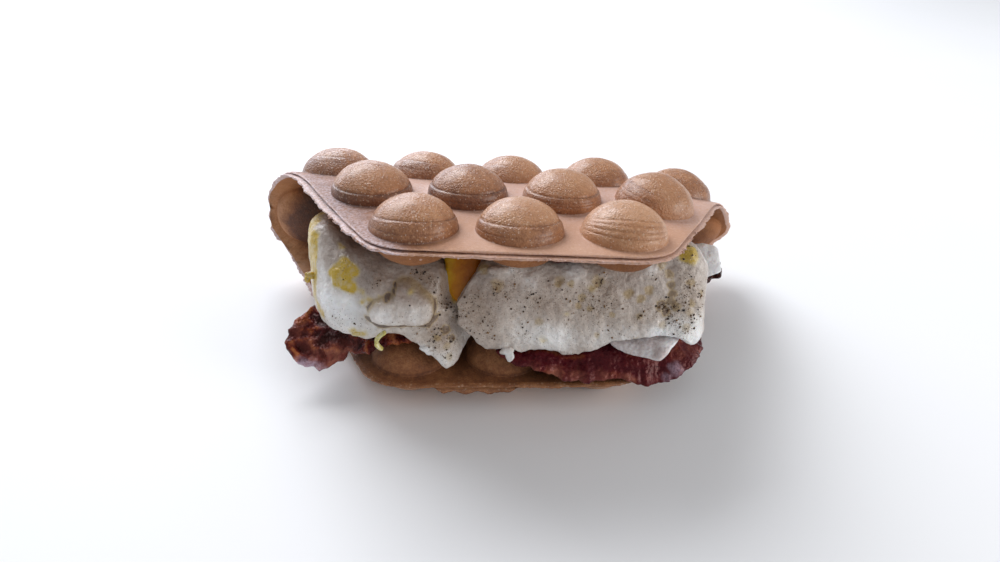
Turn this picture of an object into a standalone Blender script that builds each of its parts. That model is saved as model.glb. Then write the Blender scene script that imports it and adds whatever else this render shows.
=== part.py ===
"""A bubble waffle folded round two fried eggs and bacon. Metres, +Z up, the open side faces -Y."""
import math
import random

import bmesh
import bpy
import numpy as np
from mathutils import Vector, noise
from mathutils.bvhtree import BVHTree

MM = 0.001
MERGE = 0.02 * MM

# The flat sheet: thirty bubbles in rows of 3, 4, 5, 6, 5, 4 and 3, a hexagon with round corners
PITCH = 35 * MM
ROW_STEP = PITCH * math.sin(math.radians(60))
LAST_ROW = 3
MIDDLE_COUNT = 6
SHEET_EDGE = 17.65 * MM
LEFT_CORNER = 19 * MM
RIGHT_CORNER = 16.2 * MM
WEB = 2.2 * MM
BUBBLE_RADIUS = 14.45 * MM
OUTER_RISE = 11.7 * MM
INNER_RISE = 11 * MM
OUTER_RINGS = (26, 50, 65)
INNER_RINGS = (30, 60)
CREASE_DEGREES = 65
CREASE_DEPTH = 0.5 * MM
POINTS_PER_SIDE = 3
UNEVEN = 0.03

# The sheet's edge is two lips with a groove between them, and the lower lip is ragged
GROOVE_DEPTH = 0.7 * MM
LIP_REACH = 0.9 * MM
LIP_RAGGED = 1 * MM
LIP_WAVES = (11 * MM, 4 * MM)
GROOVE_HEIGHT = 0.3 * WEB
LIP_HEIGHT = -0.25 * WEB

# The fold, seen from the side: the tangent's angle at each row, from the upper flap's front to the lower flap's
FOLD_ROWS = (4, 3, 2, 1, 0, -1, -2, -3, -4)
FOLD_DEGREES = (-7.6, -7.6, -1.5, -27.9, -72.4, -178.3, -180, -180, -192)
FOLD_STEPS = 320
UPPER_FRONT_Y = -31.7 * MM
LOWER_FLAP_Z = 10.5 * MM
SETTLE = 0.4 * MM

# The upper flap leans to the right, and the fold's right end droops. The lower flap lies a little to the left
BANK = -0.04
DROOP = 5 * MM
DROOP_START = 1.2
DROOP_ROWS = 1.3
LOWER_SHIFT = -3.9 * MM

# The fried eggs' front faces lean back: y at the top, and how fast it comes forward further down
FACE_TOP_Y = -30 * MM
FACE_TOP_Z = 55 * MM
FACE_LOW_Z = 22 * MM
FACE_LEAN = 0.42
FACE_BULGE = 2.5 * MM
LIP_THICK = 3 * MM
BACK_TOP = (21 * MM, 42 * MM)
BACK_FOOT = (19 * MM, 29 * MM)
SLAB_RIPPLE = (0.9 * MM, 11 * MM)
CLEAR = 1.1 * MM
SPREAD = 2.2 * MM
FRONT_Y = -38 * MM
SLAB_MIDDLE_Z = 37 * MM

# Each row: x, lip z, crest z, underside z, depth from 0 to 1, and how far the face stands back, in mm
LEFT_EGG = (
    (-77, 35, 47, 38, 0.75, 31), (-74, 30, 53, 32, 0.85, 17), (-69, 29, 56, 30.5, 0.95, 7),
    (-63, 29.5, 57, 31, 1, 2), (-56, 28.5, 56, 30.5, 1, 0), (-50, 28, 56, 30, 1, 0), (-46, 31.5, 56, 32, 1, 0),
    (-42, 31, 56, 32, 1, 0), (-37, 28, 56, 31, 1, 0), (-32, 23.5, 56, 30, 0.9, 0), (-29, 19.5, 56, 29, 0.4, 0),
    (-27, 17, 55, 28, 0, 0), (-25, 14.5, 52, 27, 0, 0), (-23.2, 14, 45, 26, 0, 2), (-21, 16.5, 41, 26, 0, 5),
    (-17.5, 23, 39, 27, 0, 6.6), (-14, 29, 37, 30, 0, 7),
)
RIGHT_EGG = (
    (-22.5, 35, 39, 36, 0, 0), (-19, 32, 45, 34, 0, 0), (-14.5, 28, 51, 31, 0, 0), (-11, 21.5, 55, 29, 0, 0),
    (-7, 18, 56, 29, 0.4, 0), (-3, 18, 56, 29, 0.85, 0), (2, 22, 57, 30, 1, 0), (9, 23.5, 55, 30, 1, 0),
    (15, 21.5, 54, 30, 1, 0), (20, 20.5, 54, 30, 1, 0), (24, 22.5, 55, 30, 1, 0), (30, 21.5, 57, 30, 1, 0),
    (36, 24, 57, 31, 1, 0), (41, 27.5, 57, 32, 1, 0), (48, 27, 58, 32, 1, 0), (56, 26, 60, 32, 1, 0),
    (61, 23.5, 60, 32, 0.95, 0), (65, 22.5, 58, 33, 0.85, 0.5), (67.5, 25, 54, 34, 0.75, 3),
    (69, 31, 48, 36, 0.65, 7),
)
YOLK = (
    (-25.4, 47, 51, 48, 0.3, 8), (-22, 44, 54, 45, 0.42, 6.4), (-17.5, 42.5, 56, 44, 0.45, 5.4),
    (-14.5, 43.5, 55, 45, 0.4, 6), (-12.8, 47, 52, 48, 0.2, 7.4),
)

# The left egg's folded-over corner: the x and z of its middle, half its size, how far it stands out and its turn
FOLD_MIDDLE = (-40.5 * MM, 42.5 * MM)
FOLD_HALF = (12 * MM, 6 * MM)
FOLD_RISE = 3 * MM
FOLD_TURN = 12

# Strips. Each row: x, y and z of the middle, bank in degrees (the right-hand side down) and width, in mm
LEFT_BACON = (
    (-83.5, -32.5, 18, 36, 5), (-80.5, -30, 16, 35, 23), (-74, -27, 16.2, 31, 33), (-68, -26, 18.2, 26, 31),
    (-62, -25.5, 21.5, 14, 27), (-52, -26, 24, 6, 26), (-36, -24, 25, 0, 25), (-18, -18, 24.5, 0, 24),
    (2, -12, 24.5, 0, 24), (22, -7, 24.5, 0, 25), (42, -2, 24.5, 0, 24), (60, 4, 25.4, 0, 22),
    (74, 8, 27.6, 8, 19), (86.5, 6.5, 29.4, 16, 16),
)
RIGHT_BACON = (
    (-7, -38, 23.8, 8, 11), (2, -39.5, 22.6, 12, 16), (12, -40, 21.4, 18, 20), (26, -39.6, 19.4, 30, 22),
    (38, -39.4, 18.6, 40, 22), (54, -38.8, 18.4, 38, 22), (60.5, -33.5, 19.3, 26, 20), (62.5, -25, 20.5, 10, 19),
    (61.5, -17, 21, 4, 15),
)
LOWER_EGG = (
    (41, -45.5, 24.2, 0, 19), (42.5, -42, 26.5, 0, 24), (48, -34, 28.8, 0, 27), (54, -20, 29.4, 0, 28),
    (61, -7, 30, 0, 27), (69, 4.5, 32, 4, 26), (77, 8, 34, 12, 21), (86.5, 5.6, 35.2, 20, 14),
)
YOLK_SHRED = (
    (-45, -44.8, 34.2, 0, 2), (-46.8, -45.2, 33.4, 0, 2.6), (-48.4, -45.6, 31.8, 0, 2.8),
    (-48.9, -45.8, 30, 0, 2.8), (-48, -45.8, 28.4, 0, 2.6), (-46.4, -45.8, 27.4, 0, 2),
)
BACON_SCRAP = (
    (11, -31.6, 55.6, 10, 3.5), (14.5, -32, 56.2, 14, 5.5), (18.5, -31.8, 55.8, 10, 5), (22, -31, 55, 6, 3),
)

COLOURS = {
    "waffle": (0.36, 0.175, 0.082),
    "egg_white": (0.72, 0.68, 0.61),
    "thin_white": (0.66, 0.62, 0.56),
    "yolk": (0.78, 0.42, 0.03),
    "bacon": (0.115, 0.022, 0.013),
}


def smooth_step(share):
    """A share from 0 to 1 with soft ends."""
    share = min(1.0, max(0.0, share))
    return share * share * (3 - 2 * share)


def flat_direction(degrees):
    angle = math.radians(degrees)
    return Vector((math.cos(angle), math.sin(angle)))


def fold_profile():
    """Rows along the fold with the sheet's y and z there, from the upper flap's front to the lower flap's."""
    rows = np.linspace(FOLD_ROWS[0], FOLD_ROWS[-1], FOLD_STEPS + 1)
    turn = np.radians(np.interp(-rows, [-row for row in FOLD_ROWS], FOLD_DEGREES))
    step = ROW_STEP * (rows[0] - rows[1])
    mean = (turn[1:] + turn[:-1]) / 2
    y = np.concatenate([[0], np.cumsum(np.cos(mean) * step)])
    z = np.concatenate([[0], np.cumsum(np.sin(mean) * step)])
    y += UPPER_FRONT_Y - np.interp(-LAST_ROW, -rows, y)
    z += LOWER_FLAP_Z - np.interp(LAST_ROW, -rows, z)
    return -rows, y, z


PROFILE = fold_profile()


def on_sheet(u, v):
    """The folded sheet's middle surface, u along the rows and v across them."""
    row = v / ROW_STEP
    y = float(np.interp(-row, PROFILE[0], PROFILE[1]))
    z = float(np.interp(-row, PROFILE[0], PROFILE[2]))
    upper = smooth_step(row + 0.3)
    beyond = max(0.0, u / PITCH - DROOP_START)
    droop = DROOP * beyond**2 / (1 + beyond**2 / 4)
    z += BANK * u * upper - droop * smooth_step((row + DROOP_ROWS) / DROOP_ROWS)
    return Vector((u + LOWER_SHIFT * (1 - smooth_step(row + 0.5)), y, z))


def out_of_sheet(u, v):
    """The unit vector that points out of the fold."""
    step = 0.1 * MM
    along = on_sheet(u + step, v) - on_sheet(u - step, v)
    across = on_sheet(u, v + step) - on_sheet(u, v - step)
    return across.cross(along).normalized()


def bubble_places():
    """Every bubble as its row and its place in half pitches from the middle."""
    places = []
    for row in range(LAST_ROW, -LAST_ROW - 1, -1):
        count = MIDDLE_COUNT - abs(row)
        places += [(row, 2 * index - count + 1) for index in range(count)]
    return places


PLACES = bubble_places()
NEIGHBOURS = ((0, 2), (1, 1), (1, -1), (0, -2), (-1, -1), (-1, 1))


def corner_reach(place):
    """How far the sheet reaches at a bubble's free corners."""
    if place[0]:
        return SHEET_EDGE
    return LEFT_CORNER if place[1] < 0 else RIGHT_CORNER


def has_neighbour(place, side):
    step = NEIGHBOURS[side % 6]
    return (place[0] + step[0], place[1] + step[1]) in PLACES


def cell_corner(place, corner):
    """A corner of a bubble's cell from its middle, pulled to the sheet's edge where a neighbour is missing."""
    before = has_neighbour(place, corner)
    after = has_neighbour(place, corner + 1)
    if before and after:
        return flat_direction(60 * corner + 30) * PITCH / math.sqrt(3), False
    if before:
        return flat_direction(60 * corner) * PITCH / 2 + flat_direction(60 * corner + 90) * SHEET_EDGE, False
    if after:
        return flat_direction(60 * corner + 60) * PITCH / 2 + flat_direction(60 * corner - 30) * SHEET_EDGE, False
    return flat_direction(60 * corner + 30) * corner_reach(place), True


def cell_border(place):
    """The points round a bubble's cell, with the direction that each has from the bubble."""
    points = []
    for side in range(6):
        start, start_free = cell_corner(place, side - 1)
        end, end_free = cell_corner(place, side)
        for index in range(POINTS_PER_SIDE):
            share = index / POINTS_PER_SIDE
            degrees = 60 * side - 30 + 60 * share
            point = start.lerp(end, share)
            if start_free and end_free and not has_neighbour(place, side):
                square = abs(2 * share - 1)
                point = flat_direction(degrees) * (SHEET_EDGE + (corner_reach(place) - SHEET_EDGE) * square)
            points.append((point, degrees))
    return points


def add_bubble(bm, layers, place, side, draw):
    """One face of a cell: a domed bubble in rings, and the web round it. It lies flat, with its rise kept apart."""
    lift, seat_u, seat_v = layers
    middle = Vector((place[1] * PITCH / 2, place[0] * ROW_STEP))
    rise = (OUTER_RISE if side > 0 else INNER_RISE) * (1 + UNEVEN * draw.uniform(-1, 1))
    stretch = 1 + UNEVEN / 3 * draw.uniform(-1, 1)
    lean = Vector((draw.uniform(-1, 1), draw.uniform(-1, 1))) * UNEVEN * BUBBLE_RADIUS
    border = cell_border(place)

    def add_vert(offset, height):
        vert = bm.verts.new((middle.x + offset.x, middle.y + offset.y, side * WEB / 2))
        vert[lift] = side * height
        vert[seat_u] = middle.x
        vert[seat_v] = middle.y
        return vert

    tip = add_vert(lean, rise - WEB / 2)
    base = math.degrees(math.acos(WEB / 2 / rise))
    rings = []
    for polar in (OUTER_RINGS if side > 0 else INNER_RINGS) + (base,):
        radius = BUBBLE_RADIUS * stretch * math.sin(math.radians(polar))
        if side > 0 and polar == CREASE_DEGREES:
            radius -= CREASE_DEPTH
        height = rise * math.cos(math.radians(polar)) - WEB / 2
        sway = lean * (1 - polar / base)
        rings.append([add_vert(flat_direction(degrees) * radius + sway, height) for _, degrees in border])
    rings.append([add_vert(point, 0) for point, _ in border])
    count = len(border)
    for index in range(count):
        following = (index + 1) % count
        bm.faces.new((tip, rings[0][index], rings[0][following]))
        for inner, outer in zip(rings, rings[1:]):
            bm.faces.new((inner[index], outer[index], outer[following], inner[following]))


def edge_direction(vert):
    """The way out of the flat sheet at a point of its edge."""
    total = Vector((0, 0))
    for edge in vert.link_edges:
        if edge.is_boundary:
            run = edge.other_vert(vert).co - vert.co
            normal = Vector((run.y, -run.x)).normalized()
            total += normal if normal.dot(vert.co.xy) > 0 else -normal
    return total.normalized()


def ragged_reach(vert):
    """How far the lower lip sticks out here."""
    rough = noise.noise(vert.co / LIP_WAVES[0]) + 0.6 * noise.noise(vert.co / LIP_WAVES[1])
    return LIP_REACH + LIP_RAGGED * rough


def nearest_way_out(outward, place):
    """The way out at the edge's own point that lies nearest to a copied point."""
    return min(outward, key=lambda item: (item[0] - place).length_squared)[1]


def add_edge(bm):
    """Joins the sheet's two faces with an edge of two lips and a groove."""
    upper = [edge for edge in bm.edges if edge.is_boundary and edge.verts[0].co.z > 0]
    lower = [edge for edge in bm.edges if edge.is_boundary and edge.verts[0].co.z < 0]
    outward = [(vert.co.xy, edge_direction(vert)) for edge in upper for vert in edge.verts]
    for height in (GROOVE_HEIGHT, LIP_HEIGHT):
        grown = bmesh.ops.extrude_edge_only(bm, edges=upper)["geom"]
        upper = [item for item in grown if isinstance(item, bmesh.types.BMEdge)]
        for vert in {vert for edge in upper for vert in edge.verts}:
            reach = -GROOVE_DEPTH if height == GROOVE_HEIGHT else GROOVE_DEPTH + ragged_reach(vert)
            direction = nearest_way_out(outward, vert.co.xy)
            vert.co += direction.to_3d() * reach
            vert.co.z = height
    bmesh.ops.bridge_loops(bm, edges=upper + lower)


def fold_sheet(bm, layers):
    """Bends the flat sheet round the filling, each bubble keeping its own rise."""
    lift, seat_u, seat_v = layers
    for vert in bm.verts:
        u, v, thick = vert.co
        seat = (vert[seat_u], vert[seat_v])
        point = on_sheet(u, v) + out_of_sheet(u, v) * thick
        if vert[lift]:
            point += out_of_sheet(*seat) * vert[lift]
        if point.z < SETTLE:
            point.z = 0
        vert.co = point


def make_waffle():
    bm = bmesh.new()
    names = ("lift", "seat_u", "seat_v")
    layers = [bm.verts.layers.float.new(name) for name in names]
    draw = random.Random(11)
    for place in PLACES:
        add_bubble(bm, layers, place, 1, draw)
        add_bubble(bm, layers, place, -1, draw)
    bmesh.ops.remove_doubles(bm, verts=bm.verts, dist=MERGE)
    add_edge(bm)
    fold_sheet(bm, layers)
    return finish(bm, "waffle", "waffle")


def finish(bm, name, colour):
    """Turns the faces out, splits them into triangles and makes the object."""
    bmesh.ops.recalc_face_normals(bm, faces=bm.faces)
    if bm.calc_volume(signed=True) < 0:
        bmesh.ops.reverse_faces(bm, faces=bm.faces)
    bmesh.ops.triangulate(bm, faces=bm.faces)
    mesh = bpy.data.meshes.new(name)
    bm.to_mesh(mesh)
    bm.free()
    mesh.shade_smooth()
    mesh.materials.append(material(colour))
    part = bpy.data.objects.new(name, mesh)
    bpy.context.collection.objects.link(part)
    return part


def material(name):
    found = bpy.data.materials.get(name)
    if found:
        return found
    made = bpy.data.materials.new(name)
    made.use_nodes = True
    shader = made.node_tree.nodes["Principled BSDF"]
    shader.inputs["Base Color"].default_value = (*COLOURS[name], 1)
    shader.inputs["Roughness"].default_value = 0.35 if name in ("yolk", "bacon") else 0.55
    shader.inputs["Metallic"].default_value = 0
    return made


def tree_of(parts):
    """One search tree over the surfaces of several parts."""
    points, faces = [], []
    for part in parts:
        start = len(points)
        points += [vert.co.copy() for vert in part.data.vertices]
        faces += [[start + index for index in face.vertices] for face in part.data.polygons]
    return BVHTree.FromPolygons(points, faces)


def free_height(tree, x, y, z):
    """The lowest and highest z that are free round a place, seen up and down from z."""
    low, high = -1.0, 1.0
    for step in range(9 if y < FRONT_Y else 17):
        start = Vector((x, y, z)) + flat_direction(45 * step).to_3d() * SPREAD * math.ceil(step / 8)
        floor = tree.ray_cast(start, Vector((0, 0, -1)))[0]
        ceiling = tree.ray_cast(start, Vector((0, 0, 1)))[0]
        low = max(low, floor.z) if floor else low
        high = min(high, ceiling.z) if ceiling else high
    return low, high


def face_y(z, stand_back):
    """Where an egg's front face is at a height."""
    share = (FACE_TOP_Z - z) / (FACE_TOP_Z - FACE_LOW_Z)
    bulge = FACE_BULGE * 4 * share * (1 - share) if 0 < share < 1 else 0
    return FACE_TOP_Y - (FACE_TOP_Z - z) * FACE_LEAN - bulge + stand_back


def from_table(table, x):
    """The shape values at x, read between a table's rows."""
    columns = list(zip(*table))
    return [float(np.interp(x / MM, columns[0], column)) for column in columns[1:]]


def slab_outline(table, x):
    """A slab's outline at x: up the front face, back over the top, down the back, and under to the lip."""
    lip, crest, under, depth, stand_back = from_table(table, x)
    lip, crest, under, stand_back = lip * MM, crest * MM, under * MM, stand_back * MM
    front = [Vector((x, face_y(z, stand_back), z)) for z in np.linspace(lip, crest, 9)]
    inner = face_y(under, stand_back) + LIP_THICK
    thin_top = Vector((x, face_y(crest, stand_back) + LIP_THICK, crest))
    thin_foot = Vector((x, inner, under))
    back_top = thin_top.lerp(Vector((x, *BACK_TOP)), depth)
    back_foot = thin_foot.lerp(Vector((x, *BACK_FOOT)), depth)
    top = [front[-1].lerp(back_top, share / 7) for share in range(1, 7)]
    back = [back_top.lerp(back_foot, share / 3) for share in range(4)]
    bottom = [back_foot.lerp(thin_foot, share / 6) for share in range(1, 6)]
    lip_back = Vector((x, face_y(lip, stand_back) + LIP_THICK * 0.8, lip))
    edge = [thin_foot.lerp(lip_back, share / 2) for share in range(3)]
    return front + top + back + bottom + edge


def loft_slab(table, count):
    """A closed body through a table's outlines, with its corners rounded."""
    bm = bmesh.new()
    start, end = table[0][0] * MM, table[-1][0] * MM
    outlines = [slab_outline(table, start + (end - start) * index / count) for index in range(count + 1)]
    around = len(outlines[0])
    bmesh.ops.create_grid(bm, x_segments=count, y_segments=around, size=1)
    for vert in bm.verts:
        station = round((vert.co.x + 1) / 2 * count)
        step = round((vert.co.y + 1) / 2 * around) % around
        vert.co = outlines[station][step]
    bmesh.ops.remove_doubles(bm, verts=bm.verts, dist=MERGE)
    ends = [edge for edge in bm.edges if edge.is_boundary]
    bmesh.ops.holes_fill(bm, edges=ends, sides=around + 1)
    for _ in range(2):
        bmesh.ops.smooth_vert(bm, verts=bm.verts, factor=0.5, use_axis_x=True, use_axis_y=True, use_axis_z=True)
    return bm


def ripple(bm, height, length, seed):
    """Uneven swells on a body's faces."""
    bm.normal_update()
    moves = {vert: vert.normal * height * noise.noise(vert.co / length + Vector((seed, 0, 0))) for vert in bm.verts}
    for vert, move in moves.items():
        vert.co += move


def press(bm, tree):
    """Keeps a body between what lies under it and what lies over it."""
    for vert in bm.verts:
        low, high = free_height(tree, vert.co.x, vert.co.y, SLAB_MIDDLE_Z)
        vert.co.z = min(max(vert.co.z, low + CLEAR), high - CLEAR)


def fold_over(bm):
    """The corner of the left egg that is folded over on its face."""
    turn = math.radians(FOLD_TURN)
    for vert in bm.verts:
        if vert.co.y > FACE_TOP_Y:
            continue
        x = vert.co.x - FOLD_MIDDLE[0]
        z = vert.co.z - FOLD_MIDDLE[1]
        along = (x * math.cos(turn) - z * math.sin(turn)) / FOLD_HALF[0]
        across = (x * math.sin(turn) + z * math.cos(turn)) / FOLD_HALF[1]
        inside = 1 - max(abs(along), abs(across))
        vert.co.y -= FOLD_RISE * smooth_step(inside * 3 + 0.5)


def route_frames(table, count):
    """Even steps along a strip's route: the middle, the way across and the width."""
    rows = np.array(table, float)
    run = np.concatenate([[0], np.cumsum(np.linalg.norm(np.diff(rows[:, :3], axis=0), axis=1))])
    at = np.linspace(0, run[-1], count + 1)
    columns = [np.interp(at, run, rows[:, column]) for column in range(5)]
    values = np.array(columns).T
    kernel = np.array([1, 2, 1]) / 4
    for _ in range(2):
        values[1:-1] = values[:-2] * kernel[0] + values[1:-1] * kernel[1] + values[2:] * kernel[2]
    frames = []
    for index, (x, y, z, bank, width) in enumerate(values):
        ahead = values[min(index + 1, count)] - values[max(index - 1, 0)]
        forward = Vector(ahead[:3]).normalized()
        side = Vector((ahead[1], -ahead[0], 0)).normalized()
        tilt = math.radians(bank)
        across = side * math.cos(tilt) - side.cross(forward).normalized() * math.sin(tilt)
        frames.append((Vector((x, y, z)) * MM, across, width * MM))
    return frames


def make_strip(name, colour, table, segments, thick, wave, tree=None, seed=0):
    """A thin wavy strip: wave is the height and length of its ripples, and tree is what it lies on."""
    count, wide = segments
    frames = route_frames(table, count)
    bm = bmesh.new()
    bmesh.ops.create_grid(bm, x_segments=count, y_segments=wide, size=1)
    for vert in bm.verts:
        step = round((vert.co.x + 1) / 2 * count)
        share = vert.co.y / 2
        middle, across, width = frames[step]
        run = step / count * len(table)
        ragged = 1 + 0.12 * noise.noise(Vector((run * 1.7, share * 3, seed)))
        point = middle + across * (share * width * ragged)
        height = noise.noise(Vector((point.x / wave[1], point.y / wave[1] * 0.6, seed)))
        point.z += wave[0] * (height + 0.6 * math.sin(step * 1.3 + share * 2 + seed))
        if tree:
            low, high = free_height(tree, point.x, point.y, SLAB_MIDDLE_Z)
            point.z = min(max(point.z, low + thick / 2 + CLEAR), high - CLEAR)
        vert.co = point
    part = finish(bm, name, colour)
    solid = part.modifiers.new("Thickness", "SOLIDIFY")
    solid.thickness = thick
    solid.offset = 0
    return part


def evaluated(part):
    """A part with its modifiers applied, for what lies on it."""
    graph = bpy.context.evaluated_depsgraph_get()
    mesh = bpy.data.meshes.new_from_object(part.evaluated_get(graph))
    part.modifiers.clear()
    part.data = mesh
    return part


def make_slab(name, colour, table, count, tree, seed, extra=None):
    bm = loft_slab(table, count)
    if extra:
        extra(bm)
    ripple(bm, *SLAB_RIPPLE, seed)
    press(bm, tree)
    return finish(bm, name, colour)


def stand_at_origin(parts):
    """Moves everything so that the middle of the underside of its box is the origin."""
    points = [vert.co for part in parts for vert in part.data.vertices]
    middle_x = (min(point.x for point in points) + max(point.x for point in points)) / 2
    middle_y = (min(point.y for point in points) + max(point.y for point in points)) / 2
    move = Vector((-middle_x, -middle_y, -min(point.z for point in points)))
    for part in parts:
        for vert in part.data.vertices:
            vert.co += move


def build():
    for item in list(bpy.data.objects):
        bpy.data.objects.remove(item)
    parts = [make_waffle()]
    below = (
        ("bacon_left", "bacon", LEFT_BACON, (31, 4), 2.2 * MM, (1.3 * MM, 13 * MM), 3),
        ("bacon_right", "bacon", RIGHT_BACON, (24, 4), 2.2 * MM, (1.2 * MM, 12 * MM), 8),
        ("egg_lower", "thin_white", LOWER_EGG, (14, 5), 2.4 * MM, (0.8 * MM, 14 * MM), 5),
    )
    for name, colour, table, segments, thick, wave, seed in below:
        part = make_strip(name, colour, table, segments, thick, wave, tree_of(parts), seed)
        parts.append(evaluated(part))
    tree = tree_of(parts)
    parts.append(make_slab("egg_left", "egg_white", LEFT_EGG, 22, tree, 1, fold_over))
    parts.append(make_slab("egg_right", "egg_white", RIGHT_EGG, 25, tree, 4))
    parts.append(make_slab("yolk", "yolk", YOLK, 6, tree_of(parts[:1]), 7))
    for name, colour, table, segments in (
        ("yolk_shred", "yolk", YOLK_SHRED, (8, 1)),
        ("bacon_scrap", "bacon", BACON_SCRAP, (6, 2)),
    ):
        part = make_strip(name, colour, table, segments, 1.2 * MM, (0.2 * MM, 6 * MM))
        parts.append(evaluated(part))
    stand_at_origin(parts)


build()
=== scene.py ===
"""A bubble waffle folded round fried eggs and bacon, dressed over its CAD parts. Metres, +Z up."""

import math
import random

import bmesh
import bpy
import numpy as np
from mathutils import Euler, Matrix, Vector, noise
from mathutils.bvhtree import BVHTree


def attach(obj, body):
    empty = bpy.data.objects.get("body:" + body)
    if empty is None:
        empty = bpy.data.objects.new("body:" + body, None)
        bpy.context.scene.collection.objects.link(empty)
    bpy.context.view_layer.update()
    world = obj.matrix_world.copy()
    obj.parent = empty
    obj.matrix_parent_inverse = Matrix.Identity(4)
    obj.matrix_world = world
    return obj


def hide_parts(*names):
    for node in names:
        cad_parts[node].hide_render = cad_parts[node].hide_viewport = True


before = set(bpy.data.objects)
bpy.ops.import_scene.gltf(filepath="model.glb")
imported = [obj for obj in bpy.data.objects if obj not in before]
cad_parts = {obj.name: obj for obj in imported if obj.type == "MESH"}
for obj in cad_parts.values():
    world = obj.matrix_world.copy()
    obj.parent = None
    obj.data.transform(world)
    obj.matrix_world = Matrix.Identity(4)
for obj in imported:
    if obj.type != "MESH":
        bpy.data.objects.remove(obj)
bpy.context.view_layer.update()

MM = 0.001
MERGE = 0.02 * MM
MORE_THAN_POINTS = 2**17
SEAT = Vector((2.566, -3.632, 0)) * MM

# The view: how the camera looks at the food, in degrees and mm
LENS = 23.589
YAW, PITCH_DOWN, ROLL = -2.63, 33.86, 1.46
DISTANCE = 314.48
AIM = (-2.82, 40.02, -2)

# The flat waffle sheet and its bubbles, as in the CAD part
PITCH = 35 * MM
ROW_STEP = PITCH * math.sin(math.radians(60))
LAST_ROW = 3
MIDDLE_COUNT = 6
SHEET_EDGE = 17.65 * MM
LEFT_CORNER = 19 * MM
RIGHT_CORNER = 16.2 * MM
WEB = 2.2 * MM
BUBBLE_RADIUS = 14.7 * MM
OUTER_RISE = 12 * MM
INNER_RISE = 11 * MM
UNEVEN = 0.03
FOLD_ROWS = (4, 3, 2, 1, 0, -1, -2, -3, -4)
FOLD_DEGREES = (-7.6, -7.6, -1.5, -27.9, -72.4, -178.3, -180, -180, -192)
FOLD_STEPS = 320
UPPER_FRONT_Y = -31.7 * MM
LOWER_FLAP_Z = 10.5 * MM
SETTLE = 0.4 * MM
BANK = -0.04
DROOP = 5 * MM
DROOP_START = 1.2
DROOP_ROWS = 1.3
LOWER_SHIFT = -3.9 * MM

# The rings of a bubble: 0 is its tip, 1 to 2 its creases, 3 its foot and 4 its cell's border
AROUND = 60
OUTER_RINGS = (
    0, 0.15, 0.3, 0.44, 0.57, 0.68, 0.78, 0.86, 0.92, 0.97, 1, 1.04, 1.12, 1.24, 1.33, 1.37, 1.5, 1.62,
    1.66, 1.7, 1.84, 1.95, 2, 2.04, 2.16, 2.4, 2.65, 2.85, 3, 3.1, 3.2, 3.32, 3.5, 4,
)
INNER_RINGS = (0, 0.25, 0.5, 0.8, 1.1, 1.45, 1.8, 2.15, 2.55, 3, 3.12, 3.25, 3.5, 4)
CREASE_RINGS = (1, 1.33, 1.66, 2)
FOOT_DEGREES = 83
FOOT_REACH = 0.6 * MM

# Creases, a set for each bubble: where the first and last run at the front and at the sides (degrees from
# the tip), the middle and half width of their reach (degrees, 0 faces front), and in mm how far the band
# below the first stands proud and how deep the three grooves below it are
CREASES = {
    (3, -2): (52, 65, 72, 77, 0, 150, (0.3, 0, 0, 0.14)),
    (3, 0): (53, 64, 71, 77, 6, 145, (0.28, 0, 0, 0.12)),
    (3, 2): (38, 58, 66, 75, -4, 88, (0.28, 0.22, 0.22, 0.24)),
    (2, -3): (64, 70, 76, 79, 0, 140, (0.26, 0, 0, 0)),
    (2, -1): (57, 66, 72, 77, 0, 140, (0.28, 0, 0, 0.1)),
    (2, 1): (57, 66, 72, 77, 4, 140, (0.28, 0, 0.1, 0.12)),
    (2, 3): (42, 62, 64, 74, -62, 60, (0.24, 0, 0.1, 0.1)),
}
# How the surface runs over the band, the last crease and the grooves: rings, and shares of their depth
BAND_FORM = (
    (0.9, 0.97, 1, 1.04, 1.12, 1.24, 1.5, 1.84, 2, 3), (0, -0.15, -0.75, -0.3, 0.5, 0.9, 1, 0.95, 0.8, 0.2),
)
LAST_FORM = ((1.84, 1.95, 2, 2.04, 2.16, 2.4, 3), (0, -0.3, -1, -0.7, 0, 0.3, 0))
GROOVE_FORM = ((-0.09, -0.02, 0, 0.04, 0.17), (0, -0.5, -1, -0.5, 0.15))

# How brown each bubble that shows is, from 0 to 1, and how much browner its band. The others are drawn
BROWNING = {
    (3, -2): (0.36, 0.2), (3, 0): (0.26, 0.24), (3, 2): (0.12, 0.14),
    (2, -3): (0.4, 0.3), (2, -1): (0.5, 0.2), (2, 1): (0.3, 0.2), (2, 3): (0.34, 0.16),
    (1, -4): (0.46, 0.26), (1, -2): (0.36, 0.26), (1, 0): (0.34, 0.26), (1, 2): (0.34, 0.26),
    (1, 4): (0.42, 0.24),
}
BROWN_RANGE = (0.24, 0.44)
BAND_BROWNING = 0.2

# The sheet's edge, from the outer face to the inner one: how far out (mm), the height (mm), the share of
# raggedness, the share of the skirt and how dark it is painted: shade painted into the groove between the
# lips
LIPS = (
    (0.35, 0.95, 0, 0.2, 0), (0.5, 0.66, 0.05, 0.7, 0), (0.35, 0.42, 0.1, 1, 0.15), (-0.8, 0.3, 0, 0.3, 0.8),
    (-0.8, 0.05, 0, 0, 0.8), (1.2, -0.1, 0.9, 0, 0.1), (2.1, -0.24, 1, 0, 0), (1.9, -0.75, 0.9, 0, 0),
    (0.3, -1.05, 0.2, 0, 0),
)
LOWER_LIP = 7
# By row, how ragged the lower lip is at the left and how far it juts out there (mm)
LEFT_RAGGED = ((-3, -1.6, -0.3, 0.3, 1.4, 3), (0.6, 1.5, 1.4, 0.5, 1, 1.1))
LEFT_JUT = ((-2, -1, 0.4, 1, 2.7, 3), (0, -1.8, -1.6, 0.9, 1.1, 0.2))
RIGHT_RAGGED = 0.7
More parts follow.
